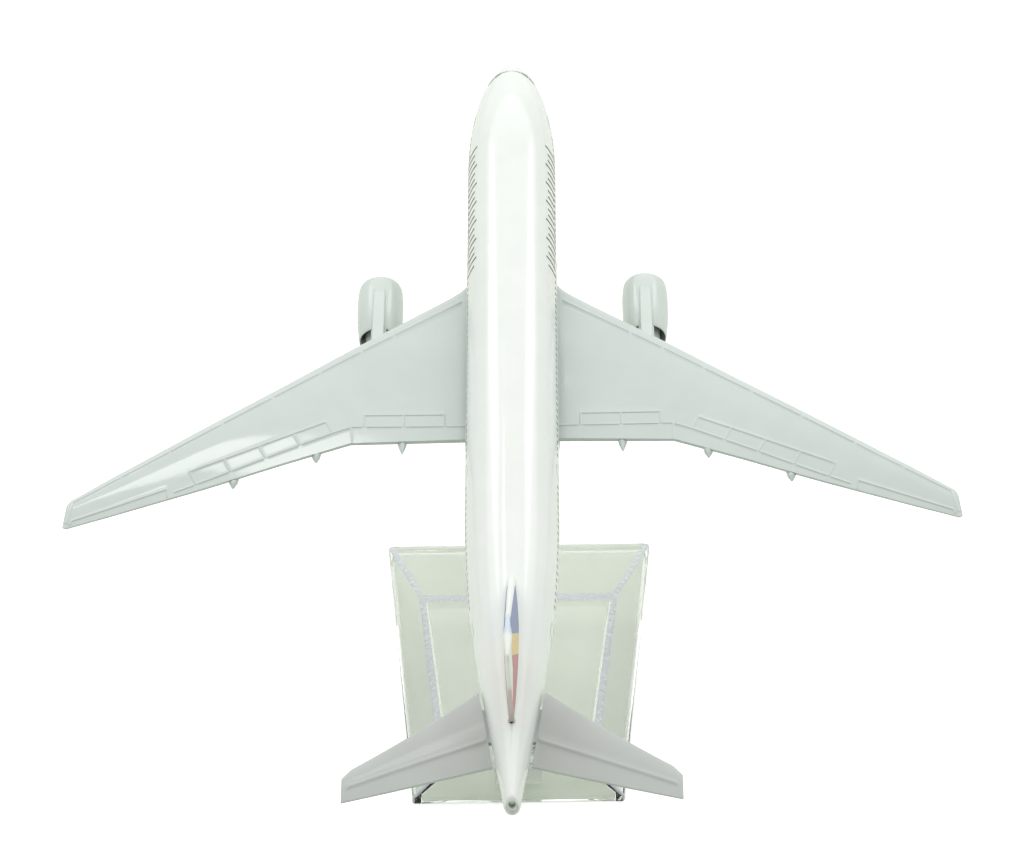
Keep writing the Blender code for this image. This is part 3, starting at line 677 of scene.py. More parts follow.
def sheet_patch(shape, corners, ns, nt, out=0.022, into=0.05, mat=0, round_ends=0.0):
    """A printed four-sided patch, bilinear in (s, t), with enough points to follow the curve."""
    a, b, c, d = [np.array(p, float) for p in corners]
    grid = []
    for i in range(ns + 1):
        u = i / ns
        row = []
        for j in range(nt + 1):
            v = j / nt
            row.append((a * (1 - u) + b * u) * (1 - v) + (d * (1 - u) + c * u) * v)
        grid.append(row)
    verts, index = [], {}
    for layer, shift in (("t", out), ("b", -into)):
        for i in range(ns + 1):
            for j in range(nt + 1):
                s, t = grid[i][j]
                index[layer, i, j] = len(verts)
                verts.append((skin(s, t) + skin_normal(s, t) * shift) * MM)
    faces = []
    for i in range(ns):
        for j in range(nt):
            q = [(i, j), (i + 1, j), (i + 1, j + 1), (i, j + 1)]
            faces.append(tuple(index["t", *p] for p in q))
            faces.append(tuple(index["b", *p] for p in q[::-1]))
    border = [(i, 0) for i in range(ns)] + [(ns, j) for j in range(nt)] + [(i, nt) for i in range(ns, 0, -1)] + [(0, j) for j in range(nt, 0, -1)]
    for k, p in enumerate(border):
        q = border[(k + 1) % len(border)]
        faces.append((index["t", *p], index["t", *q], index["b", *q], index["b", *p]))
    shape.add(verts, faces, mat)


def angle_at(s, h, side):
    """The skin angle of height h at station s on the right (1) or left (-1) side."""
    wide, middle, reach = section(s)
    t = math.asin(min(max((h - middle) / reach, -1.0), 1.0))
    return t if side > 0 else math.pi - t


DOORS = (16.6, 50.0, 94.4, 126.4)
windows = Shape()
for side in (1, -1):
    s = 20.6
    while s < 122.5:
        if all(abs(s - d) > 2.4 for d in DOORS):
            outline = []
            for k in range(12):
                a = 2 * math.pi * k / 12
                ds = 0.27 * math.copysign(abs(math.cos(a)) ** 0.7, math.cos(a))
                dh = 0.40 * math.copysign(abs(math.sin(a)) ** 0.7, math.sin(a))
                outline.append((s + ds, angle_at(s + ds, 1.75 + dh + 0.0035 * max(s - 100, 0), side)))
            slab(windows, outline)
        s += 1.33
piece("cabin_windows", windows, [ink_window], "aircraft", sharp=30)


def framed(shape, s, h, wide, high, line, side, corner=0.55):
    """A rounded rectangular outline, such as a door's, printed as a thin line."""
    def ring(w, g, r):
        pts = []
        for sx, sy, a0 in ((1, 1, 0), (-1, 1, 90), (-1, -1, 180), (1, -1, 270)):
            for k in range(5):
                a = math.radians(a0 + 22.5 * k)
                pts.append((s + sx * (w / 2 - r) + r * math.cos(a), h + sy * (g / 2 - r) + r * math.sin(a)))
            # straight sides get points of their own, so that the line follows the curve of the skin
        dense = []
        for i, p in enumerate(pts):
            q = pts[(i + 1) % len(pts)]
            gap = math.dist(p, q)
            cuts = 5 if gap > 0.8 else 1
            dense += [(p[0] + (q[0] - p[0]) * c / cuts, p[1] + (q[1] - p[1]) * c / cuts) for c in range(cuts)]
        return dense
    outer, inner = ring(wide, high, corner), ring(wide - 2 * line, high - 2 * line, corner - line)
    verts = []
    for pts in (outer, inner):
        for shift in (0.02, -0.05):
            for p in pts:
                t = angle_at(p[0], p[1], side)
                verts.append((skin(p[0], t) + skin_normal(p[0], t) * shift) * MM)
    n = len(outer)
    faces = []
    for i in range(n):
        j = (i + 1) % n
        faces += [(i, j, 2 * n + j, 2 * n + i), (n + i, n + j, j, i), (2 * n + i, 2 * n + j, 3 * n + j, 3 * n + i), (3 * n + i, 3 * n + j, n + j, n + i)]
    shape.add(verts, faces)


doors = Shape()
for side in (1, -1):
    for d in DOORS:
        framed(doors, d, 0.15 if d < 120 else 0.9, 2.5, 4.5 if d < 120 else 3.9, 0.10, side)
piece("door_outlines", doors, [ink_line], "aircraft", sharp=30)

# a plain rhythm of slanted bars where the real livery carries its titles
bars = Shape()
for side in (1, -1):
    s = 25.6
    k = 0
    while s < 54.0:
        long_one = k % 3 == 0
        h0, h1 = (1.95, 4.6) if long_one else (2.15, 4.15)
        lean = 0.75 if long_one else 0.55
        w = 0.36
        corners = [(s, angle_at(s, h0, side)), (s + w, angle_at(s, h0, side)), (s + w - lean, angle_at(s, h1, side)), (s - lean, angle_at(s, h1, side))]
        sheet_patch(bars, corners, 1, 6)
        s += 1.42
        k += 1
piece("side_pattern", bars, [ink_dark], "aircraft", sharp=30)

# windshield panes
panes = Shape()
for side in (1, -1):
    def turn(degrees):
        return math.radians(degrees if side > 0 else 180 - degrees)
    for (s0, a0), (s1, a1), (s2, a2), (s3, a3) in (
        ((4.66, 88.7), (5.50, 88.8), (6.12, 70.0), (5.20, 67.0)),
        ((5.26, 65.6), (6.16, 68.4), (7.16, 53.0), (6.10, 48.5)),
        ((6.20, 47.0), (7.26, 51.4), (8.05, 37.5), (7.00, 32.0)),
    ):
        sheet_patch(panes, [(s0, turn(a0)), (s1, turn(a1)), (s2, turn(a2)), (s3, turn(a3))], 5, 8, out=0.02)
piece("windshield_panes", panes, [ink_glass], "aircraft", sharp=30)


# -------------------------------------------------------------------------------- wings
BEAD_H, BEAD_W = 0.10, 0.19


def slat_line(x):
    le = 50.0 + 50.5 * max(x - 6.9, 0.0) / 60.9
    return le + float(np.interp(x, (6.9, 8.2, 24.0, 40.0, 55.0, 64.5, 68.0), (2.9, 2.9, 2.25, 1.75, 1.50, 1.25, 0.95)))


def rear_line(x):
    """Front edge of the spoilers, then of the aileron."""
    return float(np.interp(x, (6.0, 10.75, 23.3, 28.6, 49.8, 53.0, 67.6), (77.95, 78.5, 79.95, 81.5, 93.35, 97.0, 104.85)))


def hinge_line(x):
    if x < 52.0:
        return float(np.interp(x, (6.0, 7.5, 25.3, 28.2, 52.0), (80.35, 80.5, 82.45, 83.95, 97.5)))
    return 97.5 + (wing_te(x) - 0.42 - 97.5) * smooth((x - 52.0) / 1.2) if x < 53.2 else wing_te(x) - 0.42


segments = []


def line(points, height=BEAD_H, width=BEAD_W):
    for a, b in zip(points, points[1:]):
        segments.append((a[0], a[1], b[0], b[1], height, width))


def run(fn, x0, x1, height=BEAD_H, width=BEAD_W, gaps=(), gap=0.42):
    """A bead along a line, left out for a short way at each gap."""
    cuts = [x0]
    for g in gaps:
        cuts += [g - gap, g + gap]
    cuts.append(x1)
    for a, b in zip(cuts[::2], cuts[1::2]):
        xs = np.linspace(a, b, max(2, int((b - a) / 2.0) + 2))
        line([(x, fn(x)) for x in xs], height, width)


run(slat_line, 8.3, 67.3, gaps=(19.0, 24.0, 30.4, 37.7, 45.2, 53.1, 60.2), gap=0.26)
run(rear_line, 10.75, 23.3)
run(hinge_line, 7.2, 28.0, gaps=(10.7, 17.1, 23.25), gap=0.40)
for x in (10.75, 17.1, 23.3):
    line([(x, rear_line(x)), (x, hinge_line(x) - 0.1)], 0.10)
line([(25.3, hinge_line(25.3)), (25.05, 85.2)], 0.10)
run(rear_line, 29.2, 49.95)
run(hinge_line, 28.25, 52.0, gaps=(33.1, 38.35, 43.65, 48.85), gap=0.36)
for x in (28.15, 33.15, 38.35, 43.65, 48.85):
    line([(x, hinge_line(x) - 0.05), (x + 1.08, rear_line(x + 1.08))], 0.10)
run(rear_line, 53.2, 67.1)
line([(53.2, rear_line(53.2)), (53.05, 98.5)], 0.10)
line([(67.1, rear_line(67.1)), (67.25, 105.2)], 0.10)
line([(67.3, slat_line(67.3)), (67.75, 105.0)], 0.07, 0.24)
SEG = np.array(segments)


def bead(x, s):
    """Height of the cast-in lines at points of the upper surface."""
    found = np.zeros_like(x)
    for x0, s0, x1, s1, height, width in SEG:
        dx, ds = x1 - x0, s1 - s0
        t = np.clip(((x - x0) * dx + (s - s0) * ds) / (dx * dx + ds * ds), 0, 1)
        d = np.hypot(x - x0 - t * dx, s - s0 - t * ds) / width
        found = np.maximum(found, height * np.clip(1 - d * d, 0, 1) ** 1.5)
    return found


def wing_rows(x):
    """Stations of the upper grid lines at x, gathered closely round the cast-in lines."""
    le, te = wing_le(x), wing_te(x)
    slat, rear, hinge = slat_line(x), rear_line(x), hinge_line(x)
    room = min(1.0, (slat - le) / 1.1, (rear - slat) / 1.3, (hinge - rear) / 1.0, (te - hinge) / 0.6)
    w = BEAD_W * 1.12 * max(room, 0.12)
    rows = [le + (slat - w - le) * (1 - math.cos(math.pi / 2 * i / 10)) for i in range(10)]
    rows += list(np.linspace(slat - w, slat + w, 10))
    rows += list(np.linspace(slat + w, rear - w, 16))[1:-1]
    rows += list(np.linspace(rear - w, rear + w, 10))
    rows += list(np.linspace(rear + w, hinge - w, 9))[1:-1]
    rows += list(np.linspace(hinge - w, hinge + w, 10))
    rows += list(np.linspace(hinge + w, te, 6))[1:]
    return rows


LOWER = 22


def wing_column(x, shrink=1.0):
    """One closed section of the wing at x."""
    h, t = table(WING_H, x), table(WING_T, x) * shrink
    le, te = wing_le(x), wing_te(x)
    rows = wing_rows(x)
    upper = []
    for s in rows:
        u = min(max((s - le) / (te - le), 0.0), 1.0)
        upper.append((s, h + 0.55 * t * fine_foil(u, te - le)))
    lower = []
    for i in range(1, LOWER + 1):
        u = 1 - (1 - math.cos(math.pi * i / (LOWER + 1))) / 2
        s = le + (te - le) * u
        lower.append((s, h - 0.45 * t * fine_foil(u, te - le)))
    lower = [(te, h - 0.45 * t * fine_foil(1.0, te - le))] + lower[:-1]
    return upper, lower


CROSSINGS = [(10.75, 10.75), (17.1, 17.1), (23.3, 23.3), (25.0, 25.3), (53.0, 53.2), (67.0, 67.8)]
CROSSINGS += [(x, x + 1.1) for x in (28.15, 33.15, 38.35, 43.65, 48.85)]


def wing_shape(side):
    xs, x = [], 5.6
    while x < 67.75:
        xs.append(x)
        near = any(a - 0.35 < x < b + 0.35 for a, b in CROSSINGS)
        x += 0.055 if near else 0.17
    xs.append(67.8)
    tip = [(67.8 + 0.62 * math.sin(a), math.cos(a)) for a in np.linspace(0.15, math.pi / 2 * 0.97, 9)]
    rings = []
    for k, (x, shrink) in enumerate([(x, 1.0) for x in xs] + tip):
        base_x = min(x, 67.8)
        upper, lower = wing_column(base_x, shrink)
        us = np.array([p[0] for p in upper])
        lift = bead(np.full_like(us, base_x), us) * (shrink if k >= len(xs) else 1.0)
        lift[0] = lift[-1] = 0.0
        ring = [(base_x, s, z + dz) for (s, z), dz in zip(upper, lift)]
        ring += [(base_x, s, z) for s, z in lower]
        le, te = wing_le(base_x), wing_te(base_x)
        out = []
        over = x - 67.8 if k >= len(xs) else 0.0
        for px, s, z in ring:
            u = (s - le) / (te - le)
            z -= 0.040 * smooth((base_x - 34.0) / 16.0) * (s - le - 0.35 * (te - le))
            rake = 0.42 * (u - 0.55) * smooth((base_x - 61.0) / 6.8)
            round_off = over * 1.5
            s2 = s + (round_off * (1 - u) ** 2 if over else 0.0) - (over * 0.35 * u * u if over else 0.0)
            out.append((side * (px + over + rake), s2, z))
        rings.append(out)
    shape = Shape()
    shape.loft([[tuple(p) for p in local(r)] for r in rings])
    return shape


piece("wing_left", wing_shape(-1), [grey], "aircraft", ["wing_casting"], sharp=50)
piece("wing_right", wing_shape(1), [grey], "aircraft", sharp=50)


# ----------------------------------------------------------------------- belly fairing
def fairing_edge(s):
    """Top of the grey casting: at the split line, and tucked under the wing's top where the wing is."""
    under = smooth((s - 47.6) / 2.2) * smooth((85.2 - s) / 2.2)
    return SPLIT_H - 1.25 * under


def fairing_radius(s):
    grow = smooth((s - FAIRING_S[0]) / 11) * smooth((FAIRING_S[1] - s) / 11)
    return BODY_R * (1 + 0.10 * grow)


def fairing_ring(s, points=64, inset=0.0):
    radius = fairing_radius(s) - inset
    top = fairing_edge(s) - inset
    first = math.asin(-top / radius)
    ring = []
    for i in range(points):
        t = -first - (math.pi - 2 * first) * i / (points - 1)
        ring.append((radius * math.cos(t), s, radius * math.sin(t)))
    edge = radius * math.cos(first)
    for i in range(1, 12):
        ring.append((-edge + 2 * edge * i / 12, s, top))
    return ring


fairing_stations = list(np.linspace(FAIRING_S[0], FAIRING_S[1], 74))
fairing = Shape()
f_rings = [fairing_ring(FAIRING_S[0] + 0.001, inset=0.12)] + [fairing_ring(s) for s in fairing_stations[1:-1]] + [fairing_ring(FAIRING_S[1] - 0.001, inset=0.12)]
fairing.loft([[tuple(p) for p in local(r)] for r in f_rings])
belly = piece("belly_fairing", fairing, [grey], "aircraft", sharp=40)


def bar(radius, low, high, s, x=0.0, segments=48):
    """An upright round tool in the aircraft's coordinates."""
    shape = Shape()
    ring = [(x + radius * math.cos(2 * math.pi * i / segments), s + radius * math.sin(2 * math.pi * i / segments)) for i in range(segments)]
    shape.loft([[tuple(p) for p in local([(a, b, h) for a, b in ring])] for h in (low, high)])
    return shape


for s in (57.0, 84.0):
    boolean(belly, bar(2.3, -12.0, -5.6, s), "DIFFERENCE", AIRCRAFT)
boolean(belly, bar(1.6, -12.0, -3.0, 76.0), "DIFFERENCE", AIRCRAFT)


def lower_surface(s, x):
    le, te = wing_le(x), wing_te(x)
    return table(WING_H, x) - 0.45 * table(WING_T, x) * foil(min(max((s - le) / (te - le), 0.0), 1.0))


tracks = Shape()
for x in TRACK_X:
    te = wing_te(x)
    behind = 2.1 if x < 20 else 1.5
    rows = ((-9.4, 0.04), (-9.2, 0.22), (-8.6, 0.40), (-7.4, 0.60), (-6.0, 0.76), (-4.4, 0.87), (-2.8, 0.91), (-1.4, 0.86), (-0.4, 0.76), (0.3, 0.64), (behind * 0.45, 0.47), (behind * 0.75, 0.27), (behind * 0.93, 0.14), (behind, 0.04))
    for side in (1, -1):
        t_rings = []
        for ds, r in rows:
            drop = 0.35 if ds < 0 else 0.35 - 0.12 * ds
            middle = lower_surface(min(te + ds, te), x) - drop + 0.12 - (0.55 if x > 40 and ds < 0.3 else 0.30 if x > 40 else 0.0)
            t_rings.append([(side * x + r * math.cos(a), te + ds, middle + r * 1.05 * math.sin(a)) for a in (2 * math.pi * i / 28 for i in range(28))])
        tracks.loft([[tuple(p) for p in local(r)] for r in t_rings])
piece("flap_track_pods", tracks, [grey], "aircraft", sharp=50)


# ---------------------------------------------------------------------------- tailplanes
def tail_shape(side):
    """A tailplane with its elevator line, root following the tapering fuselage, and the tab that plugs in."""
    columns = list(np.linspace(0.0, 0.985, 120))
    extra = [(1 - 0.015 * (1 - math.sin(a)), math.cos(a)) for a in np.linspace(0.2, math.pi / 2 * 0.96, 7)]
    us_front = [0.5 * (1 - math.cos(math.pi * i / 24)) * 0.56 for i in range(20)]
    rings = []
    for share, shrink in [(c, 1.0) for c in columns] + extra:
        t = (1.7 + (0.9 - 1.7) * share) * shrink
        h = TAIL_H[0] + (TAIL_H[1] - TAIL_H[0]) * share
        s0 = TAIL_ROOT_S[0] + (TAIL_TIP_S[0] - TAIL_ROOT_S[0]) * share
        s1 = TAIL_ROOT_S[1] + (TAIL_TIP_S[1] - TAIL_ROOT_S[1]) * share
        chord = s1 - s0
        line_u = 0.665 - 0.10 * share
        w = 0.50 / chord
        front = [0.5 * (1 - math.cos(math.pi * i / 22)) for i in range(12)]
        rows = [(line_u - w) * f * 2 for f in front if f * 2 < 0.995]
        rows += list(np.linspace(line_u - w, line_u + w, 11))
        rows += list(np.linspace(line_u + w, 1.0, 7))[1:]
        rounding = 0.9 * max(share - 0.94, 0.0) / 0.06
        ring = []
        inside = smooth(share / 0.03) * smooth((0.975 - share) / 0.02)
        for u in rows:
            d = (u - line_u) / w
            ridge = 0.11 * max(1 - d * d, 0.0) ** 1.5 * inside
            step = -0.035 * smooth((d + 1) / 2) * inside
            ring.append((u, 0.5 * t * foil(u, 0.35) + ridge + step))
        for k in range(1, 18):
            u = 1 - (1 - math.cos(math.pi * k / 18)) / 2
            if k == 1:
                ring.append((1.0, -0.5 * t * foil(1.0, 0.35)))
            ring.append((u, -0.5 * t * foil(u, 0.35)))
        points = []
        for u, dz in ring:
            s = s0 + chord * u
            if share > 0.94:
                s += rounding * (1 - u) ** 3 * 0.8
            root_x = half_width(s0 + chord * u) + 0.38
            x = root_x + (TAIL_X[1] - root_x) * share
            points.append((side * x, s, h + dz))
        rings.append(points)
    shape = Shape()
    shape.loft([[tuple(p) for p in local(r)] for r in rings])
    tab = []
    for x in (2.2, 6.6):
        tab.append([(side * x, s, h) for s, h in ((141.2, 1.4), (147.2, 1.4), (147.2, 2.1), (141.2, 2.1))])
    shape.loft([[tuple(p) for p in local(r)] for r in tab])
    return shape


piece("tailplane_left_fine", tail_shape(-1), [tail_grey], "aircraft", ["tailplane_left"], sharp=50)
piece("tailplane_right_fine", tail_shape(1), [tail_grey], "aircraft", ["tailplane_right"], sharp=50)


# ------------------------------------------------------------------------------ engines
def spline(points, per=6):
    """Catmull-Rom points through a profile."""
    p = [np.array(v, float) for v in points]
    p = [2 * p[0] - p[1]] + p + [2 * p[-1] - p[-2]]
    out = []
    for i in range(1, len(p) - 2):
        for k in range(per):
            t = k / per
            out.append(0.5 * (2 * p[i] + (p[i + 1] - p[i - 1]) * t + (2 * p[i - 1] - 5 * p[i] + 4 * p[i + 1] - p[i + 2]) * t**2 + (3 * p[i] - p[i - 1] - 3 * p[i + 1] + p[i + 2]) * t**3))
    out.append(p[-2])
    return out


def turned(shape, profile, x, segments=72, wrap=False, mat_of=None, caps="fan"):
    rings = []
    if wrap:
        for i in range(segments):
            a = 2 * math.pi * i / segments
            rings.append([tuple(p) for p in local([(x + r * math.cos(a), s, ENGINE_H + r * math.sin(a)) for s, r in profile])])
        shape.loft(rings, wrap=True, mat_of=(lambda k, i: mat_of(i)) if mat_of else None)
    else:
        for s, r in profile:
            rings.append([tuple(p) for p in local([(x + r * math.cos(a), s, ENGINE_H + r * math.sin(a)) for a in (2 * math.pi * i / segments for i in range(segments))])])
        shape.loft(rings, mat_of=(lambda k, i: mat_of(k)) if mat_of else None, caps=caps)


OUTER = spline([(LIP, 3.26), (LIP + 0.16, 3.42), (LIP + 0.55, 3.54), (LIP + 1.5, 3.66), (LIP + 3.4, 3.75), (LIP + 6.2, 3.74), (LIP + 8.8, 3.62), (LIP + 11.5, 3.30)], 5)
COWL = OUTER + [np.array(v) for v in ((LIP + 11.6, 3.24), (LIP + 11.6, 3.14), (LIP + 11.52, 3.08), (LIP + 9.4, 3.13), (LIP + 7.3, 3.16), (LIP + 7.15, 0.9), (LIP + 5.5, 0.9), (LIP + 5.35, 3.0), (LIP + 3.6, 2.98), (LIP + 2.0, 2.97), (LIP + 1.0, 3.0), (LIP + 0.35, 3.08), (LIP + 0.1, 3.16))]
outer_count = len(OUTER)


# the channel behind the fan, far inside the cowl, is painted near black as shade
def cowl_mat(i):
    return 1 if outer_count + 4 <= i <= outer_count + 6 else 0


def nacelle_top(s):
    return ENGINE_H + float(np.interp(s, [p[0] for p in OUTER], [p[1] for p in OUTER]))


def pylon_ring(s, top, half, foot, low):
    """Across the pylon at s: a rounded top, straight sides and a fillet flaring at the foot."""
    r = min(0.34, half * 0.8)
    flare = 0.30
    right = []
    for k in range(6):
        a = math.pi / 2 * (1 - k / 5)
        right.append((half - r + r * math.cos(a), top - r * 0.55 + r * 0.55 * math.sin(a)))
    height = max(top - r * 0.55 - foot, 0.02)
    f = min(flare, height)
    for k in range(7):
        a = math.pi / 2 * k / 6
        right.append((half + flare * (1 - math.cos(a)), foot + f * (1 - math.sin(a)) - 0.02 * k / 6))
    right.append((half + flare * 0.7, foot - 0.5))
    right.append((half * 0.8, low))
    ring = [(x, s, h) for x, h in right] + [(-x, s, h) for x, h in right[::-1]]
    return ring


PYLON_TOP = ((48.7, -3.75), (49.6, -3.40), (50.4, -3.14), (51.4, -2.92), (52.6, -2.72), (54.0, -2.52), (58.0, -2.04), (60.0, -1.84), (61.4, -1.70), (62.2, -1.60), (64.0, -1.40))


def wing_top(s, x):
    le, te = wing_le(x), wing_te(x)
    return table(WING_H, x) + 0.55 * table(WING_T, x) * fine_foil(min(max((s - le) / (te - le), 0.0), 1.0), te - le)


for side, word in ((-1, "left"), (1, "right")):
    x0 = side * ENGINE_X
    nacelle = Shape()
    turned(nacelle, COWL, x0, 96, wrap=True, mat_of=cowl_mat)
    strut = []
    for s in list(np.linspace(48.8, 50.4, 9)) + list(np.linspace(50.8, 64.0, 34)):
        top = table(PYLON_TOP, s)
        half = 0.93 * (0.72 + 0.28 * smooth((s - 48.6) / 1.6))
        if s < LIP + 11.3:
            foot = nacelle_top(s) - 0.10 * min(1.0, (half + 0.3) ** 2 / 2)
        else:
            foot = nacelle_top(LIP + 11.3) - 0.35 - (s - LIP - 11.3) * 0.05
        if s > 62.0:
            surface = wing_top(max(s, 62.25), ENGINE_X)
            top = min(top, surface - 0.02)
            foot = min(foot, surface - 0.4)
        low = -4.3 if s < 61 else -3.2
        strut.append([tuple(p) for p in local([(x0 + p[0], p[1], p[2]) for p in pylon_ring(s, top, half, min(foot, top - 0.02), low)])])
    nacelle.loft(strut)
    # the rear of the strut, under the wing
    rear = []
    for s, top, low, half in ((59.0, -3.3, -4.5, 0.93), (62.0, -2.9, -4.45, 0.93), (65.0, -2.95, -4.2, 0.88), (68.0, -3.1, -3.9, 0.70), (70.4, -3.2, -3.62, 0.42), (71.0, -3.26, -3.5, 0.2)):
        ring = []
        for k in range(20):
            a = 2 * math.pi * k / 20
            ring.append((x0 + half * math.copysign(abs(math.cos(a)) ** 0.6, math.cos(a)), s, (top + low) / 2 + (top - low) / 2 * math.copysign(abs(math.sin(a)) ** 0.6, math.sin(a))))
        rear.append([tuple(p) for p in local(ring)])
    nacelle.loft(rear)
    piece("nacelle_" + word + "_fine", nacelle, [nacelle_grey, hollow_shade_dark], "aircraft", ["nacelle_" + word], sharp=42)

    fan = Shape()
    spinner = [(LIP + 2.35, 0.02), (LIP + 2.40, 0.16), (LIP + 2.6, 0.36), (LIP + 3.0, 0.58), (LIP + 3.5, 0.76), (LIP + 4.1, 0.90), (LIP + 4.9, 0.95), (LIP + 5.3, 0.88)]
    turned(fan, spinner, x0, 48)
    for b in range(22):
        a0 = 2 * math.pi * b / 22
        sections_ = []
        for r in (0.8, 1.3, 1.9, 2.4, 2.9):
            twist = math.radians(28 + 34 * (r - 0.8) / 2.1)
            chord = 0.95 + 0.18 * r
            ring = []
            for u, thick in ((-0.5, 0.0), (-0.3, 0.05), (0.1, 0.06), (0.5, 0.0), (0.1, -0.05), (-0.3, -0.04)):
                along = chord * u * math.cos(twist)
                across = chord * u * math.sin(twist) + thick
                a = a0 + across / r + 0.12 * (r - 0.8)
                ring.append((x0 + r * math.cos(a), LIP + 4.45 + along, ENGINE_H + r * math.sin(a)))
            sections_.append([tuple(p) for p in local(ring)])
        fan.loft(sections_, mat=1)
    piece("fan_" + word + "_fine", fan, [dark_plastic, blade], "aircraft", ["fan_" + word], sharp=35)

    core = Shape()
    profile = spline([(LIP + 7.4, 2.1), (LIP + 8.6, 2.22), (LIP + 10.0, 2.30), (LIP + 11.6, 2.23), (LIP + 13.2, 2.12), (LIP + 15.2, 1.90), (LIP + 16.55, 1.74)], 5)
    profile = [np.array((LIP + 6.4, 0.6)), np.array((LIP + 7.35, 0.62)), np.array((LIP + 7.36, 1.98))] + profile
    nozzle_at = len(profile)
    profile += [np.array(v) for v in ((LIP + 16.62, 1.66), (LIP + 16.6, 1.56), (LIP + 16.45, 1.50), (LIP + 15.9, 1.44), (LIP + 15.85, 1.08), (LIP + 16.6, 1.00), (LIP + 17.4, 0.88), (LIP + 18.4, 0.66), (LIP + 19.3, 0.40), (LIP + 19.85, 0.18), (LIP + 19.98, 0.04))]
    # the gap inside the nozzle's lip is painted near black as shade
    turned(core, profile, x0, 72, mat_of=lambda k, n=nozzle_at: 1 if n + 1 <= k <= n + 3 else 0)
    piece("engine_core_" + word + "_fine", core, [silver, hollow_shade_dark], "aircraft", ["engine_core_" + word], sharp=38)


# -------------------------------------------------------------------------------- stand
BASE_H, BASE_SKIRT, BASE_WALL = 6.0, 1.2, 1.4
BASE_FRONT_HALF, BASE_REAR_HALF, BASE_FRONT_Y, BASE_REAR_Y = 22.5, 17.0, 31.1, -32.4
TOP_FRONT_HALF, TOP_REAR_HALF, TOP_FRONT_Y, TOP_REAR_Y = 16.3, 12.1, 11.2, -30.7


def base_ring(front_y, rear_y, front_half, rear_half, z, front_r=0.9, rear_r=0.35, steps=8, per_side=6):
    corners = [
        (Vector((front_half, front_y)), front_r), (Vector((-front_half, front_y)), front_r),
        (Vector((-rear_half, rear_y)), rear_r), (Vector((rear_half, rear_y)), rear_r),
    ]
    arcs = []
    for i, (corner, radius) in enumerate(corners):
        before = (corners[i - 1][0] - corner).normalized()
        after = (corners[(i + 1) % 4][0] - corner).normalized()
        start, stop = corner + before * radius, corner + after * radius
        arcs.append([start * (1 - t) ** 2 + corner * 2 * t * (1 - t) + stop * t * t for t in (k / steps for k in range(steps + 1))])
    ring = []
    for i, arc in enumerate(arcs):
        ring += arc
        a, b = arc[-1], arcs[(i + 1) % 4][0]
        ring += [a + (b - a) * k / per_side for k in range(1, per_side)]
    return [(p.x * MM, p.y * MM, z * MM) for p in ring]


def base_level(f, z, inset=0.0, front_r=0.9, rear_r=0.35):
    """A level of the base, f of the way from the foot's outline to the plateau's."""
    mix = lambda a, b: a + (b - a) * f
    return base_ring(
        mix(BASE_FRONT_Y, TOP_FRONT_Y) - inset, mix(BASE_REAR_Y, TOP_REAR_Y) + inset,
        mix(BASE_FRONT_HALF, TOP_FRONT_HALF) - inset, mix(BASE_REAR_HALF, TOP_REAR_HALF) - inset, z, front_r, rear_r,
    )


slope = BASE_H - BASE_SKIRT
outer = Shape()
levels = [base_level(0, 0.0, 0.16), base_level(0, 0.05, 0.05), base_level(0, 0.16, 0.0), base_level(0, BASE_SKIRT - 0.14)]
levels += [base_level(f, BASE_SKIRT + slope * f - 0.02) for f in (0.012, 0.03)]
levels += [base_level(f, BASE_SKIRT + slope * f, 0, 0.9 - 0.1 * f, 0.45) for f in (0.06, 0.2, 0.4, 0.6, 0.8, 0.93)]
levels += [base_level(1.0, BASE_H - 0.09, 0.22, 0.8, 0.45), base_level(1.0, BASE_H, 0.78, 0.7, 0.4)]


def base_mat(k, i):
    """The bevels round the plateau and down the corners are polished less than the faces, and their cool grey is
    painted shade for the dark bands along the clear edges.
    """
    return 1 if 11 <= k < 13 or i % 14 < 8 else 0


outer.loft(levels, mat_of=base_mat)
stand_base = piece("stand_base_clear", outer, [clear, clear_bevel_shade], "base", ["stand_base"], matrix=STAND, sharp=25)
W = BASE_WALL
inner = Shape()
in_top = dict(front_y=TOP_FRONT_Y - 0.4, rear_y=TOP_REAR_Y + W, front_half=TOP_FRONT_HALF - 1.2, rear_half=TOP_REAR_HALF - 1.2)
in_low = dict(front_y=BASE_FRONT_Y - 2.6, rear_y=BASE_REAR_Y + W, front_half=BASE_FRONT_HALF - W - 0.1, rear_half=BASE_REAR_HALF - W)


def inner_level(f, z, inset=0.0):
    values = {k: in_low[k] + (in_top[k] - in_low[k]) * f for k in in_low}
    return base_ring(values["front_y"] - inset, values["rear_y"] + inset, values["front_half"] - inset, values["rear_half"] - inset, z, 0.5, 0.3)


rise_in = BASE_H - W - 0.8
i_levels = [base_ring(BASE_FRONT_Y - W, BASE_REAR_Y + W, BASE_FRONT_HALF - W, BASE_REAR_HALF - W, -1.0, 0.5, 0.3)]
i_levels += [inner_level(f, 0.8 + rise_in * f) for f in (0.0, 0.25, 0.5, 0.75, 0.95)]
i_levels += [inner_level(0.985, BASE_H - W - 0.04, 0.06), inner_level(1.0, BASE_H - W, 0.3)]
inner.loft(i_levels)
boolean(stand_base, inner, "DIFFERENCE", STAND)

ARM_FOOT_Y, TENON_W, TENON_T, GAP = -26.6, 7.9, 3.6, 0.3


def block(x0, x1, y0, y1, z0, z1, r=0.25):
    shape = Shape()
    ring = []
    for cx, cy, a0 in ((x1 - r, y1 - r, 0), (x0 + r, y1 - r, 90), (x0 + r, y0 + r, 180), (x1 - r, y0 + r, 270)):
        for k in range(5):
            a = math.radians(a0 + 22.5 * k)
            ring.append((cx + r * math.cos(a), cy + r * math.sin(a)))
    shape.loft([[(x * MM, y * MM, z * MM) for x, y in ring] for z in (z0, z1)])
    return shape


half_w, half_t = TENON_W / 2 + 0.12, TENON_T / 2 + 0.12
boolean(stand_base, block(-half_w, half_w, ARM_FOOT_Y - half_t, ARM_FOOT_Y + half_t, 3.0, 9.0), "DIFFERENCE", STAND)

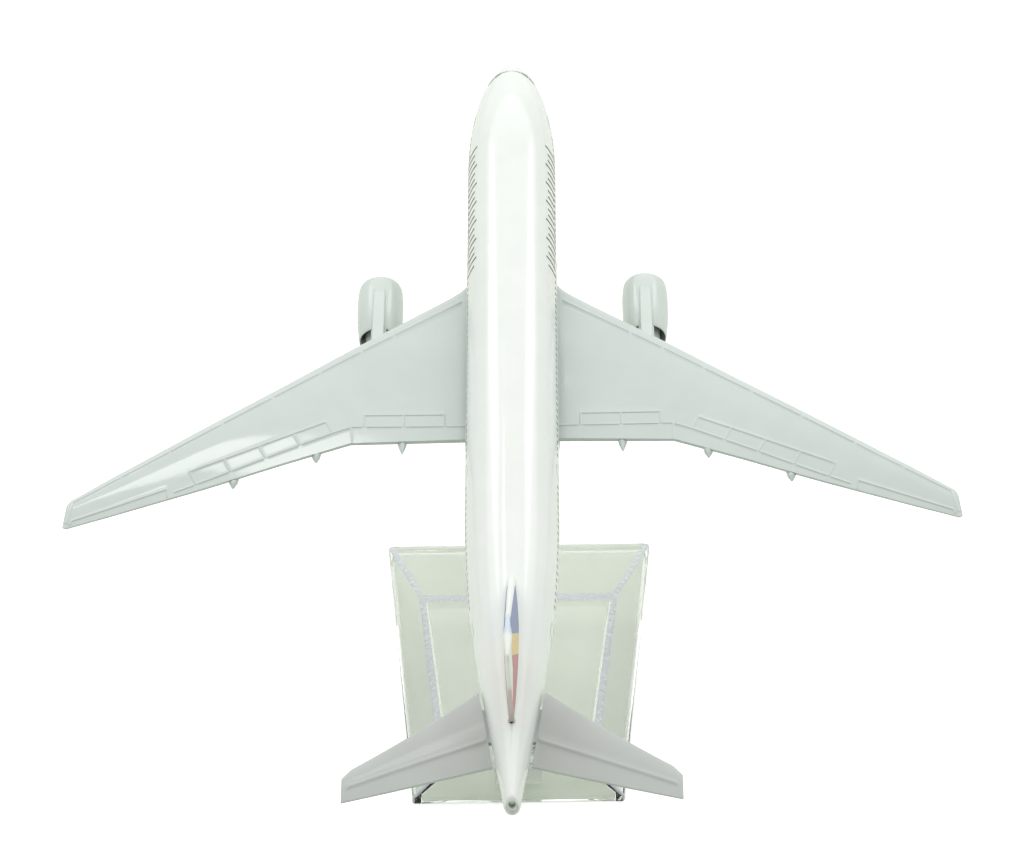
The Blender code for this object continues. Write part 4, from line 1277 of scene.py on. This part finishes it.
ARM_TOP_H = -(BODY_R * 1.10) - 0.35
tilt_up = Vector((0, -math.sin(TILT), math.cos(TILT)))
arm_top = Vector((0, -ARM_TOP_H * math.sin(TILT), AXIS_HEIGHT + ARM_TOP_H * math.cos(TILT)))
arm_foot = Vector((0, ARM_FOOT_Y, BASE_H + GAP))
CONTROL = (arm_foot, arm_foot + Vector((0, 1.5, 14)), arm_top - tilt_up * 22 + Vector((0, 1.0, 0)), arm_top)


def bezier(t):
    a, b, c, d = CONTROL
    u = 1 - t
    point = a * u**3 + b * 3 * u * u * t + c * 3 * u * t * t + d * t**3
    slope_ = (b - a) * u * u + (c - b) * 2 * u * t + (d - c) * t * t
    return point, slope_.normalized()


def arm_section(centre, along, width, thick, rounding):
    across = Vector((0, along.z, -along.y))
    ring = []
    for cx, cy, a0 in ((1, 1, 0), (-1, 1, 90), (-1, -1, 180), (1, -1, 270)):
        for k in range(8):
            a = math.radians(a0 + 90 * k / 7)
            px = cx * (width / 2 - rounding) + rounding * math.cos(a)
            py = cy * (thick / 2 - rounding) + rounding * math.sin(a)
            ring.append(tuple((centre + Vector((1, 0, 0)) * px + across * py) * MM))
    return ring


arm = Shape()
arm_rings = []
STEPS = 56
for i in range(STEPS + 1):
    t = i / STEPS
    point, along = bezier(t)
    if i == 0:
        along = Vector((0, 0, 1))
    if i == STEPS:
        along = tilt_up
    waist = 1 - 0.12 * math.sin(math.pi * t)
    width = 8.1 + (6.9 - 8.1) * t
    thick = (4.6 + (5.4 - 4.6) * t) * waist
    if i == 0:
        arm_rings.append(arm_section(point, along, width - 0.3, thick - 0.3, 0.7))
        arm_rings.append(arm_section(point + Vector((0, 0, 0.05)), along, width - 0.08, thick - 0.08, 0.8))
        arm_rings.append(arm_section(point + Vector((0, 0, 0.16)), along, width, thick, 0.85))
        continue
    if i == STEPS:
        arm_rings.append(arm_section(point - along * 0.22, along, width, thick, 0.9))
        arm_rings.append(arm_section(point - along * 0.07, along, width - 0.12, thick - 0.12, 0.85))
        arm_rings.append(arm_section(point, along, width - 0.4, thick - 0.4, 0.75))
        continue
    arm_rings.append(arm_section(point, along, width, thick, 0.9))
arm.loft(arm_rings)
stand_arm = piece("stand_arm_clear", arm, [clear_arm], "arm", ["stand_arm"], matrix=STAND, sharp=25)
boolean(stand_arm, block(-TENON_W / 2, TENON_W / 2, ARM_FOOT_Y - TENON_T / 2, ARM_FOOT_Y + TENON_T / 2, 0.9, BASE_H + 1.6, 0.3), "UNION", STAND)
boolean(stand_arm, bar(1.6, ARM_TOP_H - 5.0, ARM_TOP_H + 3.0, PIN_S), "DIFFERENCE", AIRCRAFT)

stand_base.visible_shadow = stand_arm.visible_shadow = False

# ------------------------------------------------------------- turned and screwed parts
for name in ("support_pin", "belly_screw_front", "belly_screw_rear"):
    node = frame["nodes"][name]
    node.data.materials.clear()
    node.data.materials.append(steel)
    bevel = node.modifiers.new("edge", "BEVEL")
    bevel.width, bevel.segments, bevel.limit_method, bevel.angle_limit = 0.00006, 3, "ANGLE", math.radians(40)


# ------------------------------------------------------------------- floor, light, camera
def floor_material(name, light, dark, glow):
    n = Nodes(name)
    tone = n.noise(6, 3, 0.5)
    n.set(Base_Color=n.mix(n.span(tone, 0.3, 0.7, 0, 1), light, dark))
    n.shader.inputs["Roughness"].default_value = 0.9
    n.shader.inputs["Specular IOR Level"].default_value = 0.2
    n.shader.inputs["Emission Color"].default_value = (1.0, 1.0, 1.0, 1.0)
    n.shader.inputs["Emission Strength"].default_value = glow
    return n.mat


def round_floor(name, z, mat):
    """A wide disc. Its edge dips a little, far outside the view."""
    rings = [[(r * math.cos(2 * math.pi * i / 96), r * math.sin(2 * math.pi * i / 96), z - dip) for i in range(96)] for r, dip in ((3.0, 0.0003), (1.2, 0.0), (0.4, 0.0))]
    verts = [p for ring in rings for p in ring]
    faces = [(a + k, a + (k + 1) % 96, a + 96 + (k + 1) % 96, a + 96 + k) for a in (0, 96) for k in range(96)]
    faces.append(tuple(192 + k for k in range(96)))
    mesh = bpy.data.meshes.new(name)
    mesh.from_pydata(verts, [], faces)
    mesh.materials.append(mat)
    obj = bpy.data.objects.new(name, mesh)
    bpy.context.scene.collection.objects.link(obj)
    return obj


# The white sheet is what the camera sees; the table under it is what the model reflects and shows through the stand.
sheet = round_floor("studio_sheet", -0.0002, floor_material("sheet_white", (0.93, 0.93, 0.93), (0.915, 0.915, 0.915), 0.35))
sheet.visible_diffuse = sheet.visible_glossy = sheet.visible_transmission = sheet.visible_shadow = False
tabletop = round_floor("studio_table", -0.0005, floor_material("table_pale", (0.755, 0.797, 0.712), (0.74, 0.782, 0.698), 0.0))
tabletop.visible_camera = False

world = bpy.data.worlds.new("studio")
bpy.context.scene.world = world
world.use_nodes = True
wt = world.node_tree
background = wt.nodes["Background"]
coords = wt.nodes.new("ShaderNodeTexCoord")
split = wt.nodes.new("ShaderNodeSeparateXYZ")
wt.links.new(coords.outputs["Generated"], split.inputs[0])
ramp = wt.nodes.new("ShaderNodeValToRGB")
ramp.color_ramp.elements[0].position, ramp.color_ramp.elements[0].color = 0.12, (0.42, 0.43, 0.42, 1)
ramp.color_ramp.elements[1].position, ramp.color_ramp.elements[1].color = 0.56, (1.0, 1.0, 1.0, 1)
shift = wt.nodes.new("ShaderNodeMath")
shift.operation = "MULTIPLY_ADD"
wt.links.new(split.outputs["Y"], shift.inputs[0])
shift.inputs[1].default_value, shift.inputs[2].default_value = 0.5, 0.5
wt.links.new(shift.outputs[0], ramp.inputs["Fac"])
wt.links.new(ramp.outputs["Color"], background.inputs["Color"])
background.inputs["Strength"].default_value = 1.0


def softbox(name, place, target, size, power, colour=(1, 1, 1)):
    light = bpy.data.lights.new(name, "AREA")
    light.shape = "RECTANGLE"
    light.size, light.size_y = size
    light.energy = power
    light.color = colour
    obj = bpy.data.objects.new(name, light)
    bpy.context.scene.collection.objects.link(obj)
    obj.location = place
    obj.rotation_euler = (Vector(target) - Vector(place)).to_track_quat("-Z", "Y").to_euler()
    return obj


# a wide soft ceiling and two small boxes that only the glossy wings pick out
softbox("ceiling", (0.0, 0.62, 1.1), (0, 0.20, 0.04), (2.6, 1.5), 8.6)


def box_towards(name, direction, distance, size, radiance):
    """A small box placed along a direction from the model, given its brightness."""
    d = Vector(direction).normalized()
    return softbox(name, d * distance, (0, 0, 0.05), size, radiance * math.pi * size[0] * size[1])


box_towards("front_left_box", (-0.50, 0.56, 0.66), 1.0, (0.13, 0.34), 1.7)
box_towards("front_right_box", (0.50, 0.56, 0.66), 1.0, (0.13, 0.34), 1.7)
box_towards("left_wing_glint", (0.095, 0.33, 0.94), 1.0, (0.08, 0.10), 7.0)
box_towards("right_wing_glint", (-0.24, 0.46, 0.86), 1.0, (0.07, 0.09), 3.0)

# the camera stands behind and above the tail, turned slightly about its own axis
pivot = Vector((0, STAND_Y, AXIS_HEIGHT)) * MM
azimuth, roll, dip = math.radians(1.0), math.radians(1.4), math.radians(38.0)
turn = Matrix.Rotation(azimuth, 3, "Z")
place = pivot + turn @ (Vector((0, -499.19, 444.69)) * MM - pivot)
ahead = turn @ Vector((0, math.cos(dip), -math.sin(dip)))
right = ahead.cross(Vector((0, 0, 1))).normalized()
up = right.cross(ahead)
cam_x = right * math.cos(roll) - up * math.sin(roll)
cam_y = right * math.sin(roll) + up * math.cos(roll)
camera_data = bpy.data.cameras.new("camera")
camera_data.sensor_width = 36.0
camera_data.lens = 4029.0 / 1024.0 * 36.0
camera_data.clip_start, camera_data.clip_end = 0.01, 20.0
camera_data.shift_x = -1.0 / 1024
camera = bpy.data.objects.new("camera", camera_data)
bpy.context.scene.collection.objects.link(camera)
camera.matrix_world = Matrix((
    (cam_x.x, cam_y.x, -ahead.x, place.x),
    (cam_x.y, cam_y.y, -ahead.y, place.y),
    (cam_x.z, cam_y.z, -ahead.z, place.z),
    (0, 0, 0, 1),
))
bpy.context.scene.camera = camera
bpy.context.scene.view_settings.view_transform = "Standard"
